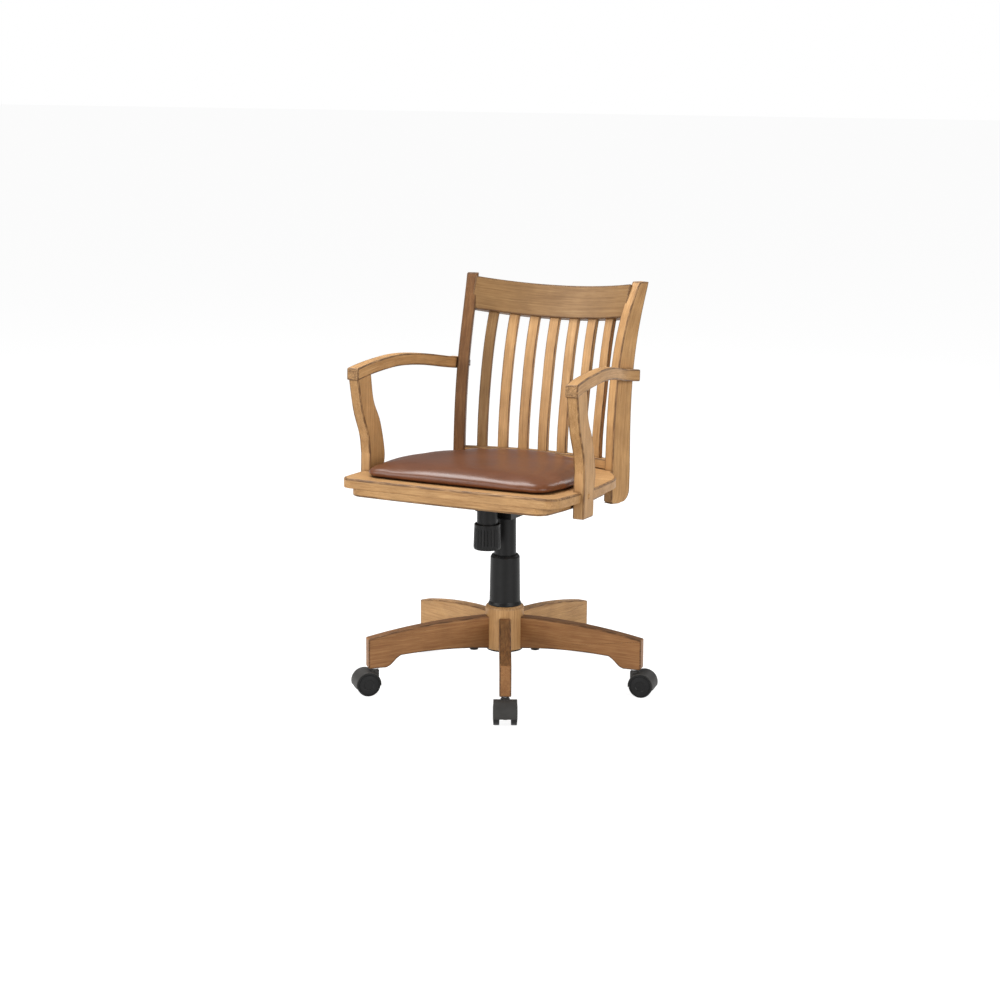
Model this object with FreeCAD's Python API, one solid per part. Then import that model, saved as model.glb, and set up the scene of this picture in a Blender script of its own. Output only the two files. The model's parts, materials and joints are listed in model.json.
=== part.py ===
"""Swivel and tilt banker's chair: wooden seat, back and arms on a gas column and a five-leg base.

Millimetres, +Z up. The origin is on the floor, on the axis of the column. The sitter faces -Y.
"""
import FreeCAD, Part
import math
import os
from FreeCAD import Placement, Rotation, Vector

os.makedirs("parts", exist_ok=True)

# Fits and gaps
RUN_GAP = 0.06          # radial gap of a shaft that turns or slides in a hole
FREE_GAP = 0.4          # gap between pieces that pass each other without touching
REST_GAP = 0.3          # gap under a piece that rests on a piece of another body

# Five-leg base
LEG_COUNT = 5
BASE_TURN = 27.0        # degrees from -Y towards +X of the first leg
LEG_REACH = 301.5       # column axis to the end face of a leg
LEG_THICK = 24.0
LEG_END_TOP = 119.5     # heights above the floor
LEG_FOOT = 56.0
LEG_HUB_TOP = 149.0
LEG_CROWN = 8.0         # rise of the leg's top curve above its chord
LEG_PAD = 38.0          # flat stretch over the caster
LEG_SCOOP = 32.0        # length of the ogee behind the pad
LEG_SCOOP_TOP = 80.0
LEG_ARCH_TOP = 84.5
HUB_RADIUS = 41.0
HUB_BOTTOM = 78.0
HUB_TOP = 172.0
HUB_EDGE = 6.0
PLATE_THICK = 3.0
PLATE_INSET = 3.0       # hub's side to the plate's edge
BASE_SCREW_RADIUS = 2.5
PLATE_SCREW_X = 30.0
PLATE_SCREW_HEAD = 5.0
PLATE_SCREW_HEAD_THICK = 2.5
PLATE_SCREW_LENGTH = 22.0
LEG_SCREW_X = 68.0
LEG_SCREW_HEAD = 9.0    # broad head that shows under the leg
LEG_SCREW_HEAD_THICK = 4.5
LEG_SCREW_SEAT = 82.2   # height of the leg's underside there
LEG_SCREW_LENGTH = 40.0

# Seat board's top over the column axis, and how far below it the mechanism hangs
SEAT_HEIGHT = 458.0
HOUSING_TOP_DROP = 52.0
HOUSING_BOTTOM_DROP = 92.0
TILT_DROP = 62.0
CYLINDER_DROP = 66.0
NOSE_DROP = 68.0
LEVER_DROP = 74.0
KNOB_TOP_DROP = 96.0
BOSS_DROP = 102.0
KNOB_BOTTOM_DROP = 150.0

# Casters
WHEEL_RADIUS = 25.0
WHEEL_WIDTH = 12.5
WHEEL_CAP = 2.9         # wall that closes the wheel's bore
CASTER_WIDTH = 48.0
CASTER_TRAIL = 18.0     # stem axis to axle axis
STEM_INSET = 15.5       # end face of the leg to the stem axis
STEM_RADIUS = 5.5
STEM_GRIP = 36.0        # length of stem inside the leg
SOCKET_WALL = 1.9
SOCKET_FLANGE = 10.0
SOCKET_FLANGE_THICK = 1.4
NECK_RADIUS = 9.5
HOOD_GAP = 1.0
HOOD_WALL = 2.2
HOOD_LOW_OUTER = 18.0   # height of the hood's lower edge on the outer side
HOOD_LOW_INNER = 21.0
AXLE_RADIUS = 3.0
WEB_WIDTH = 9.0
WEB_RADIUS = 15.0

# Gas column
TUBE_RADIUS = 20.5
TUBE_WALL = 3.0
TUBE_BOTTOM = 80.0
TUBE_TOP = 268.0
TUBE_FLOOR = 4.0
BUSHING_LENGTH = 30.0
CYLINDER_RADIUS = 14.0
CYLINDER_BORE = 11.0
CYLINDER_TOP = SEAT_HEIGHT - CYLINDER_DROP
CYLINDER_LENGTH = 227.0
CYLINDER_BOTTOM = CYLINDER_TOP - CYLINDER_LENGTH
CYLINDER_GLAND = 7.0
CYLINDER_HEAD = 20.0
TAPER_RADIUS = 13.0
ROD_RADIUS = 5.0
ROD_FOOT_RADIUS = 4.5
ROD_TOP = 297.0
PISTON_LENGTH = 12.0
BEARING_HEIGHT = 5.0
BEARING_RADIUS = 12.0
COLLAR_RADIUS = 9.0
COLLAR_HEIGHT = 5.0
CLIP_THICK = 2.0
VALVE_RADIUS = 3.0
VALVE_RISE = 4.0        # valve pin above the cylinder's top
VALVE_LENGTH = 14.0

# Column covers
LOWER_COVER_TOP = 280.0
LOWER_COVER_RADIUS = 31.0
LOWER_COVER_FOOT = 32.6
LOWER_COVER_FLARE = 35.0
UPPER_COVER_BOTTOM = 245.0
UPPER_COVER_RADIUS = 22.4
UPPER_COVER_FOOT = 23.6
COVER_WALL = 1.6

# Tilt mechanism, whose heights hang from the seat
HOUSING_BOTTOM = SEAT_HEIGHT - HOUSING_BOTTOM_DROP
HOUSING_TOP = SEAT_HEIGHT - HOUSING_TOP_DROP
HOUSING_HALF = 38.0
HOUSING_REAR = 55.0
HOUSING_FRONT = -50.0
HOUSING_WALL = 3.0
NOSE_FLOOR = SEAT_HEIGHT - NOSE_DROP
NOSE_RADIUS = 26.0
SOCKET_RADIUS = 19.0
TENSION_Y = -84.0
BOSS_RADIUS = 21.5
BOSS_BOTTOM = SEAT_HEIGHT - BOSS_DROP
TILT_Y = 25.0
TILT_Z = SEAT_HEIGHT - TILT_DROP
TILT_PIN_RADIUS = 5.0
FLANGE_THICK = 3.0
FLANGE_FRONT = 14.0
FLANGE_REAR = 22.0
BRACKET_THICK = 3.0
BRACKET_HALF = 78.0
BRACKET_FRONT = -118.0
BRACKET_REAR = 92.0
BRACKET_SCREW_X = 64.0
BRACKET_SCREW_FRONT = -100.0
BRACKET_SCREW_REAR = 74.0
BRACKET_SCREW_RADIUS = 3.0
BRACKET_SCREW_HEAD = 6.5
BRACKET_SCREW_LENGTH = 24.0
BOLT_RADIUS = 5.0
BOLT_HEAD_RADIUS = 8.5
BOLT_HEAD_HEIGHT = 6.0
YOKE_DROP = 20.0        # underside of the bracket plate to the yoke's top face
YOKE_THICK = 3.0
YOKE_FRONT = 16.0
YOKE_REAR = 10.0
SLOT_FRONT = 11.5       # room for the bolt as the seat leans back
SLOT_REAR = 6.5
KNOB_RADIUS = 28.5
KNOB_TOP_RADIUS = 27.0
KNOB_BOTTOM = SEAT_HEIGHT - KNOB_BOTTOM_DROP
KNOB_TOP = SEAT_HEIGHT - KNOB_TOP_DROP
KNOB_WALL = 3.0
KNOB_FLOOR = 5.0
KNOB_FLUTES = 24
KNOB_FLUTE_RADIUS = 1.6
SPRING_RADIUS = 15.5
SPRING_WIRE = 1.6
SPRING_TURNS = 4.2
LEVER_RADIUS = 3.5
LEVER_PIVOT_X = 20.0
LEVER_PIN_RADIUS = 3.0
LEVER_EAR_GAP = 9.0     # pivot centre to the inner face of each ear
EAR_THICK = 3.0
LEVER_BEND_X = 46.0
LEVER_REACH_Z = SEAT_HEIGHT - LEVER_DROP
LEVER_GRIP_START = 112.0
LEVER_END = 172.0

# Seat, in the seat's own frame: z is 0 on the board's top, over the column axis
SEAT_RAKE = 2.0         # degrees, rear down
BOARD_THICK = 20.0
APRON_THICK = 16.0
EDGE_EASE = 3.5         # eased outer edges of the board and the apron
JOINT_EASE = 0.6        # edges where the board and the apron meet
SEAT_FRONT = -278.5
SEAT_FRONT_BOW = 5.0
SEAT_CORNER = 30.0
SEAT_HALF_SIDE = 238.5
SEAT_FRONT_SWELL = 5.0
SEAT_MID_SWELL = 10.0
SEAT_HALF_FRONT = SEAT_HALF_SIDE + SEAT_FRONT_SWELL
SEAT_HALF_MID = SEAT_HALF_SIDE + SEAT_MID_SWELL
SEAT_MID_Y = -110.0
SEAT_HALF_REAR = 193.0
SEAT_SIDE_BOW = 7.0
SEAT_REAR_SIDE_Y = 112.0
SEAT_REAR_CORNER_X = 184.0
SEAT_REAR_CORNER_Y = 166.0
SEAT_REAR = 200.0
APRON_INSET = 22.0
CUSHION_MARGIN = 28.5
CUSHION_SWELL = 5.0
CUSHION_HALF_FRONT = SEAT_HALF_SIDE - CUSHION_MARGIN
CUSHION_HALF_MID = CUSHION_HALF_FRONT + CUSHION_SWELL
CUSHION_HALF_REAR = 155.0
CUSHION_FRONT = -249.0
CUSHION_REAR_SIDE = 113.0
CUSHION_REAR = 152.0
CUSHION_CORNER = 36.0
CUSHION_BOW = 5.0
CUSHION_LEVELS = (       # height over the board, and how far the outline is drawn in there
    (0.0, 4.0), (7.0, 0.0), (13.0, 2.0), (18.0, 8.0), (24.0, 24.0), (30.0, 50.0), (34.0, 90.0))

# Back
BACK_RADIUS = 430.0     # plan radius of the back's hollow face
BACK_TURN = 24.5        # degrees that each post is turned in plan
POST_X = 190.0          # outer front corner of the right post at the seat
POST_Y = 121.7
POST_WIDTH = 25.0
POST_FOOT = -70.0
POST_TOP = 395.0
POST_SWEEP = 80.0       # how far the post leans back at its top
POST_SWEEP_POWER = 2.75
POST_FLARE = 16.0
POST_FLARE_POWER = 5.0
POST_DEPTH = 51.0
POST_TAPER = 14.0
POST_TOP_TAPER = 12.0
POST_FOOT_ROUND = 28.0
WOOD_EASE = 2.0         # eased edges of posts, arms and rails
RAIL_THICK = 22.0
RAIL_SETBACK = 3.0
CREST_SETBACK = 6.0
CREST_HEIGHT = 72.5
CREST_END_Z = 319.5     # lower edge of the crest rail where it meets a post
CREST_TILT = 19.0
LOWER_RAIL_HEIGHT = 22.0
SLAT_COUNT = 7
SLAT_WIDTH = 23.0
SLAT_GAP = 22.0
SLAT_THICK = 11.0
SLAT_BOW = 6.5          # how far the slats bow back above the seat
SLAT_BOW_START = 40.0
SLAT_BOW_END = 190.0

# Arms
ARM_FRONT_Y = -218.0
ARM_OVERHANG = 7.5
ARM_FRONT_X = SEAT_HALF_SIDE + ARM_OVERHANG
ARM_SPLAY = 7.0         # degrees that an arm opens towards the front
ARM_REAR_Y = 172.0
ARM_REAR_X = 215.5
ARM_BEND_Y = 124.0
ARM_BOW = 8.0           # how far the middle of an arm bows outwards
ARM_LINE = (             # y, height and slope along the top of an arm
    (-218.0, 217.8, 0.23), (-130.0, 231.0, 0.10), (-50.0, 236.0, -0.01),
    (50.0, 228.6, -0.13), (120.0, 218.8, -0.12), (176.0, 214.0, -0.05))
ARM_THICK = 25.0
ARM_WIDTH = 27.0
ARM_REAR_WIDTH = 21.0
ARM_POST_WIDTH = 24.0
ARM_POST_SPLAY = 2.5
ARM_POST_FOOT = -54.0
ARM_POST_FRONT = -165.0
ARM_POST_DEPTH = 53.0
ARM_POST_WAIST_Z = 36.0
ARM_POST_LEAN = 51.5    # how far the post's head stands in front of its foot
ARM_POST_BELLY = 4.0
ARM_BOLT_RADIUS = 3.0
ARM_BOLT_HEAD = 7.0
PLUG_RADIUS = 6.0
PLUG_DOME = 2.5
SCREW_RADIUS = 2.5
SCREW_HEAD = 4.5
SCREW_LENGTH = 48.0
SCREW_DEPTH = 6.0       # depth of the plugged hole over a foot screw
FLUSH_PLUG = 5.0

SEAT_PLACE = Placement(Vector(0, 0, SEAT_HEIGHT), Rotation(Vector(1, 0, 0), -SEAT_RAKE))


def save(name, shape):
    shape.exportStep("parts/" + name + ".step")
    print(name, len(shape.Solids), round(shape.Volume), shape.isValid())


def cylinder(radius, low, high, x=0.0, y=0.0):
    return Part.makeCylinder(radius, high - low, Vector(x, y, low))


def cylinder_along(radius, start, end):
    run = end.sub(start)
    return Part.makeCylinder(radius, run.Length, start, run)


def box(low, high):
    return Part.makeBox(high[0] - low[0], high[1] - low[1], high[2] - low[2], Vector(*low))


def turned(profile):
    """Solid turned about the Z axis from a closed profile of (radius, height) points."""
    points = [Vector(r, 0, z) for r, z in profile]
    face = Part.Face(Part.makePolygon(points + points[:1]))
    return face.revolve(Vector(0, 0, 0), Vector(0, 0, 1), 360)


def line(a, b):
    return Part.LineSegment(a, b).toShape()


def arc(a, b, c):
    return Part.Arc(a, b, c).toShape()


def curve(points):
    spline = Part.BSplineCurve()
    spline.interpolate(points)
    return spline.toShape()


def eased_ring(corner, across, back, width, depth, ease):
    """Closed eight-sided section: `width` along `across` and `depth` along `back` from a corner."""
    steps = ((ease, 0), (width - ease, 0), (width, ease), (width, depth - ease),
             (width - ease, depth), (ease, depth), (0, depth - ease), (0, ease))
    points = [corner + across * a + back * b for a, b in steps]
    return Part.makePolygon(points + points[:1])


def spin_z(shape, angle, x=0.0, y=0.0):
    copy = shape.copy()
    copy.rotate(Vector(x, y, 0), Vector(0, 0, 1), angle)
    return copy


def moved(shape, x=0.0, y=0.0, z=0.0):
    copy = shape.copy()
    copy.translate(Vector(x, y, z))
    return copy


def mirrored(shape):
    return shape.mirror(Vector(0, 0, 0), Vector(1, 0, 0))


def in_seat(shape):
    """Move a shape from the seat's own frame to the chair's frame."""
    copy = shape.copy()
    copy.Placement = SEAT_PLACE.multiply(copy.Placement)
    return copy


# Five-leg base
def leg_angle(index):
    return BASE_TURN + index * 360.0 / LEG_COUNT


def along_leg(shape, index):
    """Turn a shape drawn along +X so that it lies along a leg."""
    return spin_z(shape, leg_angle(index) - 90.0)


def make_leg():
    half = LEG_THICK / 2
    end, pad = LEG_REACH, LEG_REACH - LEG_PAD
    scoop = pad - LEG_SCOOP
    inner = HUB_RADIUS / 2
    top_mid = Vector((end + inner) / 2, 0, (LEG_END_TOP + LEG_HUB_TOP) / 2 + LEG_CROWN)
    points = {
        "end_top": Vector(end, 0, LEG_END_TOP), "end_low": Vector(end, 0, LEG_FOOT),
        "pad": Vector(pad, 0, LEG_FOOT), "scoop": Vector(scoop, 0, LEG_SCOOP_TOP),
        "hub_low": Vector(inner, 0, HUB_BOTTOM), "hub_top": Vector(inner, 0, LEG_HUB_TOP)}
    rise = LEG_SCOOP_TOP - LEG_FOOT
    ogee = curve([points["pad"], Vector(pad - LEG_SCOOP * 0.3, 0, LEG_FOOT + rise * 0.2),
                  Vector(pad - LEG_SCOOP * 0.7, 0, LEG_FOOT + rise * 0.72), points["scoop"]])
    arch_mid = Vector((scoop + inner) / 2, 0, LEG_ARCH_TOP)
    edges = [line(points["end_low"], points["pad"]), ogee,
             arc(points["scoop"], arch_mid, points["hub_low"]),
             line(points["hub_low"], points["hub_top"]),
             arc(points["hub_top"], top_mid, points["end_top"]),
             line(points["end_top"], points["end_low"])]
    face = Part.Face(Part.Wire(edges))
    leg = moved(face, y=-half).extrude(Vector(0, LEG_THICK, 0))
    leg = leg.cut(cylinder(HUB_RADIUS, 0, HUB_TOP))
    socket = cylinder(STEM_RADIUS + RUN_GAP + SOCKET_WALL, 0, LEG_FOOT + STEM_GRIP + 1, STEM_X)
    return leg.cut(socket).cut(leg_screw())


STEM_X = LEG_REACH - STEM_INSET
PLATE_BOTTOM = HUB_BOTTOM - PLATE_THICK


def plate_screw():
    head = cylinder(PLATE_SCREW_HEAD, PLATE_BOTTOM - PLATE_SCREW_HEAD_THICK, PLATE_BOTTOM, PLATE_SCREW_X)
    shank = cylinder(BASE_SCREW_RADIUS, PLATE_BOTTOM, PLATE_BOTTOM + PLATE_SCREW_LENGTH, PLATE_SCREW_X)
    return head.fuse(shank)


def leg_screw():
    head = cylinder(LEG_SCREW_HEAD, LEG_SCREW_SEAT - LEG_SCREW_HEAD_THICK, LEG_SCREW_SEAT, LEG_SCREW_X)
    shank = cylinder(BASE_SCREW_RADIUS, LEG_SCREW_SEAT, LEG_SCREW_SEAT + LEG_SCREW_LENGTH, LEG_SCREW_X)
    return head.fuse(shank)


def make_hub():
    hub = cylinder(HUB_RADIUS, HUB_BOTTOM, HUB_TOP)
    rims = [e for e in hub.Edges if len(e.Vertexes) == 1 and e.BoundBox.ZLength < 0.01]
    top = [e for e in rims if e.BoundBox.ZMin > HUB_TOP - 1]
    hub = hub.makeFillet(HUB_EDGE, top)
    hub = hub.cut(cylinder(TUBE_RADIUS, 0, HUB_TOP + 1))
    for index in range(LEG_COUNT):
        hub = hub.cut(along_leg(plate_screw(), index))
    return hub


def make_hub_plate():
    plate = cylinder(HUB_RADIUS - PLATE_INSET, PLATE_BOTTOM, HUB_BOTTOM)
    plate = plate.cut(cylinder(COLLAR_RADIUS + 3, 0, HUB_TOP))
    for index in range(LEG_COUNT):
        plate = plate.cut(along_leg(plate_screw(), index))
    return plate


def make_socket():
    outer = STEM_RADIUS + RUN_GAP + SOCKET_WALL
    inner = STEM_RADIUS + RUN_GAP
    flange_low = LEG_FOOT - SOCKET_FLANGE_THICK
    barrel = cylinder(outer, LEG_FOOT, LEG_FOOT + STEM_GRIP + 1, STEM_X)
    flange = cylinder(SOCKET_FLANGE, flange_low, LEG_FOOT, STEM_X)
    return barrel.fuse(flange).cut(cylinder(inner, flange_low - 1, LEG_FOOT + STEM_GRIP, STEM_X))


def make_base():
    save("base_hub", make_hub())
    leg = make_leg()
    for index in range(LEG_COUNT):
        save("leg_%d" % (index + 1), along_leg(leg, index))
    save("hub_plate", make_hub_plate())
    screws = []
    sockets = []
    for index in range(LEG_COUNT):
        screws += [along_leg(plate_screw(), index), along_leg(leg_screw(), index)]
        sockets.append(along_leg(make_socket(), index))
    save("base_screws", Part.makeCompound(screws))
    save("stem_sockets", Part.makeCompound(sockets))


# Casters, drawn with the stem on the leg's +X side and the axle along Y
AXLE_X = STEM_X + CASTER_TRAIL
HOOD_INNER = WHEEL_RADIUS + HOOD_GAP
HOOD_OUTER = HOOD_INNER + HOOD_WALL
CASTER_TOP = LEG_FOOT - SOCKET_FLANGE_THICK - REST_GAP


def axle_cylinder(radius, low_y, high_y):
    start = Vector(AXLE_X, low_y, WHEEL_RADIUS)
    return cylinder_along(radius, start, start + Vector(0, high_y - low_y, 0))


def make_caster_housing():
    half = CASTER_WIDTH / 2
    shell = axle_cylinder(HOOD_OUTER, -half, half).cut(axle_cylinder(HOOD_INNER, -half - 1, half + 1))
    reach = HOOD_OUTER + 1
    low = box((AXLE_X, -half - 1, -reach), (AXLE_X + reach, half + 1, HOOD_LOW_OUTER))
    low = low.fuse(box((AXLE_X - reach, -half - 1, -reach), (AXLE_X, half + 1, HOOD_LOW_INNER)))
    shell = shell.cut(low)
    web_half = WEB_WIDTH / 2
    web_low = WHEEL_RADIUS - WEB_RADIUS / 2
    web = axle_cylinder(HOOD_INNER + HOOD_WALL / 2, -web_half, web_half)
    web = web.cut(box((AXLE_X - reach, -half, -reach), (AXLE_X + reach, half, web_low)))
    boss = axle_cylinder(WEB_RADIUS / 2 + 1, -web_half, web_half)
    neck = cylinder(NECK_RADIUS, WHEEL_RADIUS + WEB_RADIUS / 2, CASTER_TOP, STEM_X)
    wheel_room = axle_cylinder(HOOD_INNER, -half, half).cut(axle_cylinder(HOOD_INNER, -web_half, web_half))
    neck = neck.cut(wheel_room)
    body = shell.fuse([web, boss, neck]).removeSplitter()
    return body.cut(caster_pins())


def caster_pins():
    stem = cylinder(STEM_RADIUS, WHEEL_RADIUS + WEB_RADIUS, LEG_FOOT + STEM_GRIP - 1, STEM_X)
    half = CASTER_WIDTH / 2
    axle_end = half - WHEEL_CAP - 0.5
    axle = axle_cylinder(AXLE_RADIUS, -axle_end, axle_end)
    return Part.makeCompound([stem, axle])


def make_wheel(side):
    """Wheel outside the web; side is +1 for the left wheel and -1 for the right one."""
    inner = WEB_WIDTH / 2 + REST_GAP
    outer = CASTER_WIDTH / 2
    face = outer - WHEEL_WIDTH
    step = 1.6
    profile = ((AXLE_RADIUS + RUN_GAP, inner), (AXLE_RADIUS + 4, inner), (AXLE_RADIUS + 4, face + 3),
               (WHEEL_RADIUS - 6, face + 3), (WHEEL_RADIUS - 4, face), (WHEEL_RADIUS - step, face),
               (WHEEL_RADIUS, face + step), (WHEEL_RADIUS, outer - step), (WHEEL_RADIUS - step, outer),
               (WHEEL_RADIUS - 3.2, outer), (WHEEL_RADIUS - 3.6, outer - 0.7),
               (WHEEL_RADIUS - 4.6, outer - 0.7), (WHEEL_RADIUS - 5.2, outer + 0.2),
               (WHEEL_RADIUS * 0.42, outer + 0.9), (WHEEL_RADIUS * 0.36, outer + 0.1),
               (0, outer + 0.1), (0, outer - WHEEL_CAP), (AXLE_RADIUS + RUN_GAP, outer - WHEEL_CAP))
    wheel = turned(profile)
    wheel.rotate(Vector(0, 0, 0), Vector(1, 0, 0), -90 * side)
    return moved(wheel, x=AXLE_X, z=WHEEL_RADIUS)


def make_casters():
    housing = make_caster_housing()
    pins = caster_pins()
    wheels = {"left": make_wheel(1), "right": make_wheel(-1)}
    for index in range(LEG_COUNT):
        number = index + 1
        save("caster_housing_%d" % number, along_leg(housing, index))
        save("caster_pins_%d" % number, along_leg(pins, index))
        for side, wheel in wheels.items():
            save("wheel_%s_%d" % (side, number), along_leg(wheel, index))


# Gas column
TUBE_BORE = TUBE_RADIUS - TUBE_WALL
FLOOR_TOP = TUBE_BOTTOM + TUBE_FLOOR
COLLAR_LOW = FLOOR_TOP + 2 * REST_GAP + BEARING_HEIGHT


def make_column():
    tube = cylinder(TUBE_RADIUS, TUBE_BOTTOM, TUBE_TOP).cut(cylinder(TUBE_BORE, FLOOR_TOP, TUBE_TOP + 1))
    save("gas_tube", tube.cut(cylinder(ROD_FOOT_RADIUS + RUN_GAP, 0, FLOOR_TOP)))
    bushing = cylinder(TUBE_BORE, TUBE_TOP - BUSHING_LENGTH, TUBE_TOP)
    save("tube_bushing", bushing.cut(cylinder(CYLINDER_RADIUS + RUN_GAP, 0, TUBE_TOP + 1)))

    foot_low = TUBE_BOTTOM - CLIP_THICK - 1.5
    rod = cylinder(ROD_FOOT_RADIUS, foot_low, COLLAR_LOW)
    rod = rod.fuse(cylinder(COLLAR_RADIUS, COLLAR_LOW, COLLAR_LOW + COLLAR_HEIGHT))
    rod = rod.fuse(cylinder(ROD_RADIUS, COLLAR_LOW + COLLAR_HEIGHT, ROD_TOP - PISTON_LENGTH))
    piston = cylinder(CYLINDER_BORE - RUN_GAP, ROD_TOP - PISTON_LENGTH, ROD_TOP)
    save("piston_rod", rod.fuse(piston).removeSplitter())
    bearing = cylinder(BEARING_RADIUS, FLOOR_TOP + REST_GAP, COLLAR_LOW)
    clip_high = TUBE_BOTTOM - REST_GAP
    clip = cylinder(COLLAR_RADIUS, clip_high - CLIP_THICK, clip_high)
    rings = [ring.cut(cylinder(ROD_FOOT_RADIUS, 0, TUBE_TOP)) for ring in (bearing, clip)]
    save("rod_retainers", Part.makeCompound(rings))

    cylinder_body = turned((
        (0, CYLINDER_BOTTOM), (CYLINDER_RADIUS, CYLINDER_BOTTOM), (CYLINDER_RADIUS, HOUSING_BOTTOM),
        (TAPER_RADIUS, CYLINDER_TOP), (0, CYLINDER_TOP)))
    bore = cylinder(CYLINDER_BORE, CYLINDER_BOTTOM + CYLINDER_GLAND, CYLINDER_TOP - CYLINDER_HEAD)
    gland = cylinder(ROD_RADIUS + RUN_GAP, CYLINDER_BOTTOM - 1, CYLINDER_BOTTOM + CYLINDER_GLAND)
    valve_hole = cylinder(VALVE_RADIUS + RUN_GAP, VALVE_LOW - VALVE_RISE - 1, CYLINDER_TOP + 1)
    save("piston_cylinder", cylinder_body.cut(bore).cut(gland).cut(valve_hole))
    save("valve_pin", cylinder(VALVE_RADIUS, VALVE_LOW, VALVE_TOP))

    wall = COVER_WALL
    lip = UPPER_COVER_FOOT + FREE_GAP
    foot = HUB_TOP
    lower = turned((
        (LOWER_COVER_FOOT - 2 * wall, foot), (LOWER_COVER_FLARE, foot), (LOWER_COVER_FLARE, foot + 2),
        (LOWER_COVER_FOOT, foot + 7), (LOWER_COVER_RADIUS, LOWER_COVER_TOP - 4),
        (LOWER_COVER_RADIUS - 3, LOWER_COVER_TOP), (lip, LOWER_COVER_TOP), (lip, LOWER_COVER_TOP - 2.5),
        (LOWER_COVER_RADIUS - 2 * wall, LOWER_COVER_TOP - 6)))
    save("cover_lower", lower)
    top = HOUSING_BOTTOM
    upper = turned((
        (UPPER_COVER_FOOT - wall, UPPER_COVER_BOTTOM), (UPPER_COVER_FOOT, UPPER_COVER_BOTTOM),
        (UPPER_COVER_RADIUS, top), (CYLINDER_RADIUS, top), (CYLINDER_RADIUS, top - 3),
        (UPPER_COVER_RADIUS - wall, top - 3)))
    save("cover_upper", upper)


VALVE_TOP = CYLINDER_TOP + VALVE_RISE
VALVE_LOW = VALVE_TOP - VALVE_LENGTH


# Tilt mechanism
LEVER_Z = VALVE_TOP + REST_GAP + LEVER_RADIUS
PIN_REACH = HOUSING_HALF + FREE_GAP + FLANGE_THICK + 3


def housing_outline(shrink):
    half = HOUSING_HALF - shrink
    rear, front = HOUSING_REAR - shrink, HOUSING_FRONT + shrink
    points = [Vector(half, rear, 0), Vector(-half, rear, 0), Vector(-half, front, 0), Vector(half, front, 0)]
    return Part.Face(Part.makePolygon(points + points[:1]))


def make_housing():
    height = HOUSING_TOP - HOUSING_BOTTOM
    floor = HOUSING_BOTTOM + HOUSING_WALL
    pan = moved(housing_outline(0), z=HOUSING_BOTTOM).extrude(Vector(0, 0, height))
    pan = pan.cut(moved(housing_outline(HOUSING_WALL), z=floor).extrude(Vector(0, 0, height)))
    nose_hollow = nose_block(HOUSING_WALL, NOSE_FLOOR + HOUSING_WALL, HOUSING_TOP + 1)
    nose = nose_block(0, NOSE_FLOOR, HOUSING_TOP).cut(nose_hollow)
    opening = box((-NOSE_RADIUS + HOUSING_WALL, HOUSING_FRONT - 1, NOSE_FLOOR + HOUSING_WALL),
                  (NOSE_RADIUS - HOUSING_WALL, HOUSING_FRONT + HOUSING_WALL + 1, HOUSING_TOP + 1))
    socket = cylinder(SOCKET_RADIUS, floor, CYLINDER_TOP - 2)
    boss = cylinder(BOSS_RADIUS, BOSS_BOTTOM, NOSE_FLOOR, 0, TENSION_Y)
    ear_low = CYLINDER_TOP - 12
    reach = LEVER_EAR_GAP + EAR_THICK
    near, far = LEVER_PIVOT_X - 5, LEVER_PIVOT_X + 6
    ears = []
    for low in (-reach, LEVER_EAR_GAP):
        ears.append(box((near, low, ear_low), (far, low + EAR_THICK, HOUSING_TOP)))
    ears.append(box((near, -reach, floor), (far, reach, ear_low)))
    body = pan.fuse([nose, socket, boss] + ears).cut(opening)
    taper = turned(((0, HOUSING_BOTTOM), (CYLINDER_RADIUS, HOUSING_BOTTOM),
                    (TAPER_RADIUS, CYLINDER_TOP), (0, CYLINDER_TOP)))
    slot_half = LEVER_RADIUS + 2
    cuts = [taper, cylinder(BOLT_RADIUS + 1.2, BOSS_BOTTOM - 1, HOUSING_TOP, 0, TENSION_Y),
            tilt_bar(TILT_PIN_RADIUS + RUN_GAP, PIN_REACH), lever_bar(LEVER_PIN_RADIUS + RUN_GAP, reach + 1),
            box((HOUSING_HALF - HOUSING_WALL - 1, -slot_half, LEVER_REACH_Z - 2),
                (HOUSING_HALF + 1, slot_half, HOUSING_TOP + 1))]
    for cut in cuts:
        body = body.cut(cut)
    return body.removeSplitter()


def tilt_bar(radius, reach):
    return cylinder_along(radius, Vector(-reach, TILT_Y, TILT_Z), Vector(reach, TILT_Y, TILT_Z))


def lever_bar(radius, reach):
    start, end = Vector(LEVER_PIVOT_X, -reach, LEVER_Z), Vector(LEVER_PIVOT_X, reach, LEVER_Z)
    return cylinder_along(radius, start, end)


def nose_block(shrink, low, high):
    """Rounded arm of the housing that reaches forward to the tension spring."""
    radius = NOSE_RADIUS - shrink
    block = cylinder(radius, low, high, 0, TENSION_Y)
    return block.fuse(box((-radius, TENSION_Y, low), (radius, HOUSING_FRONT + 1, high)))


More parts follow.
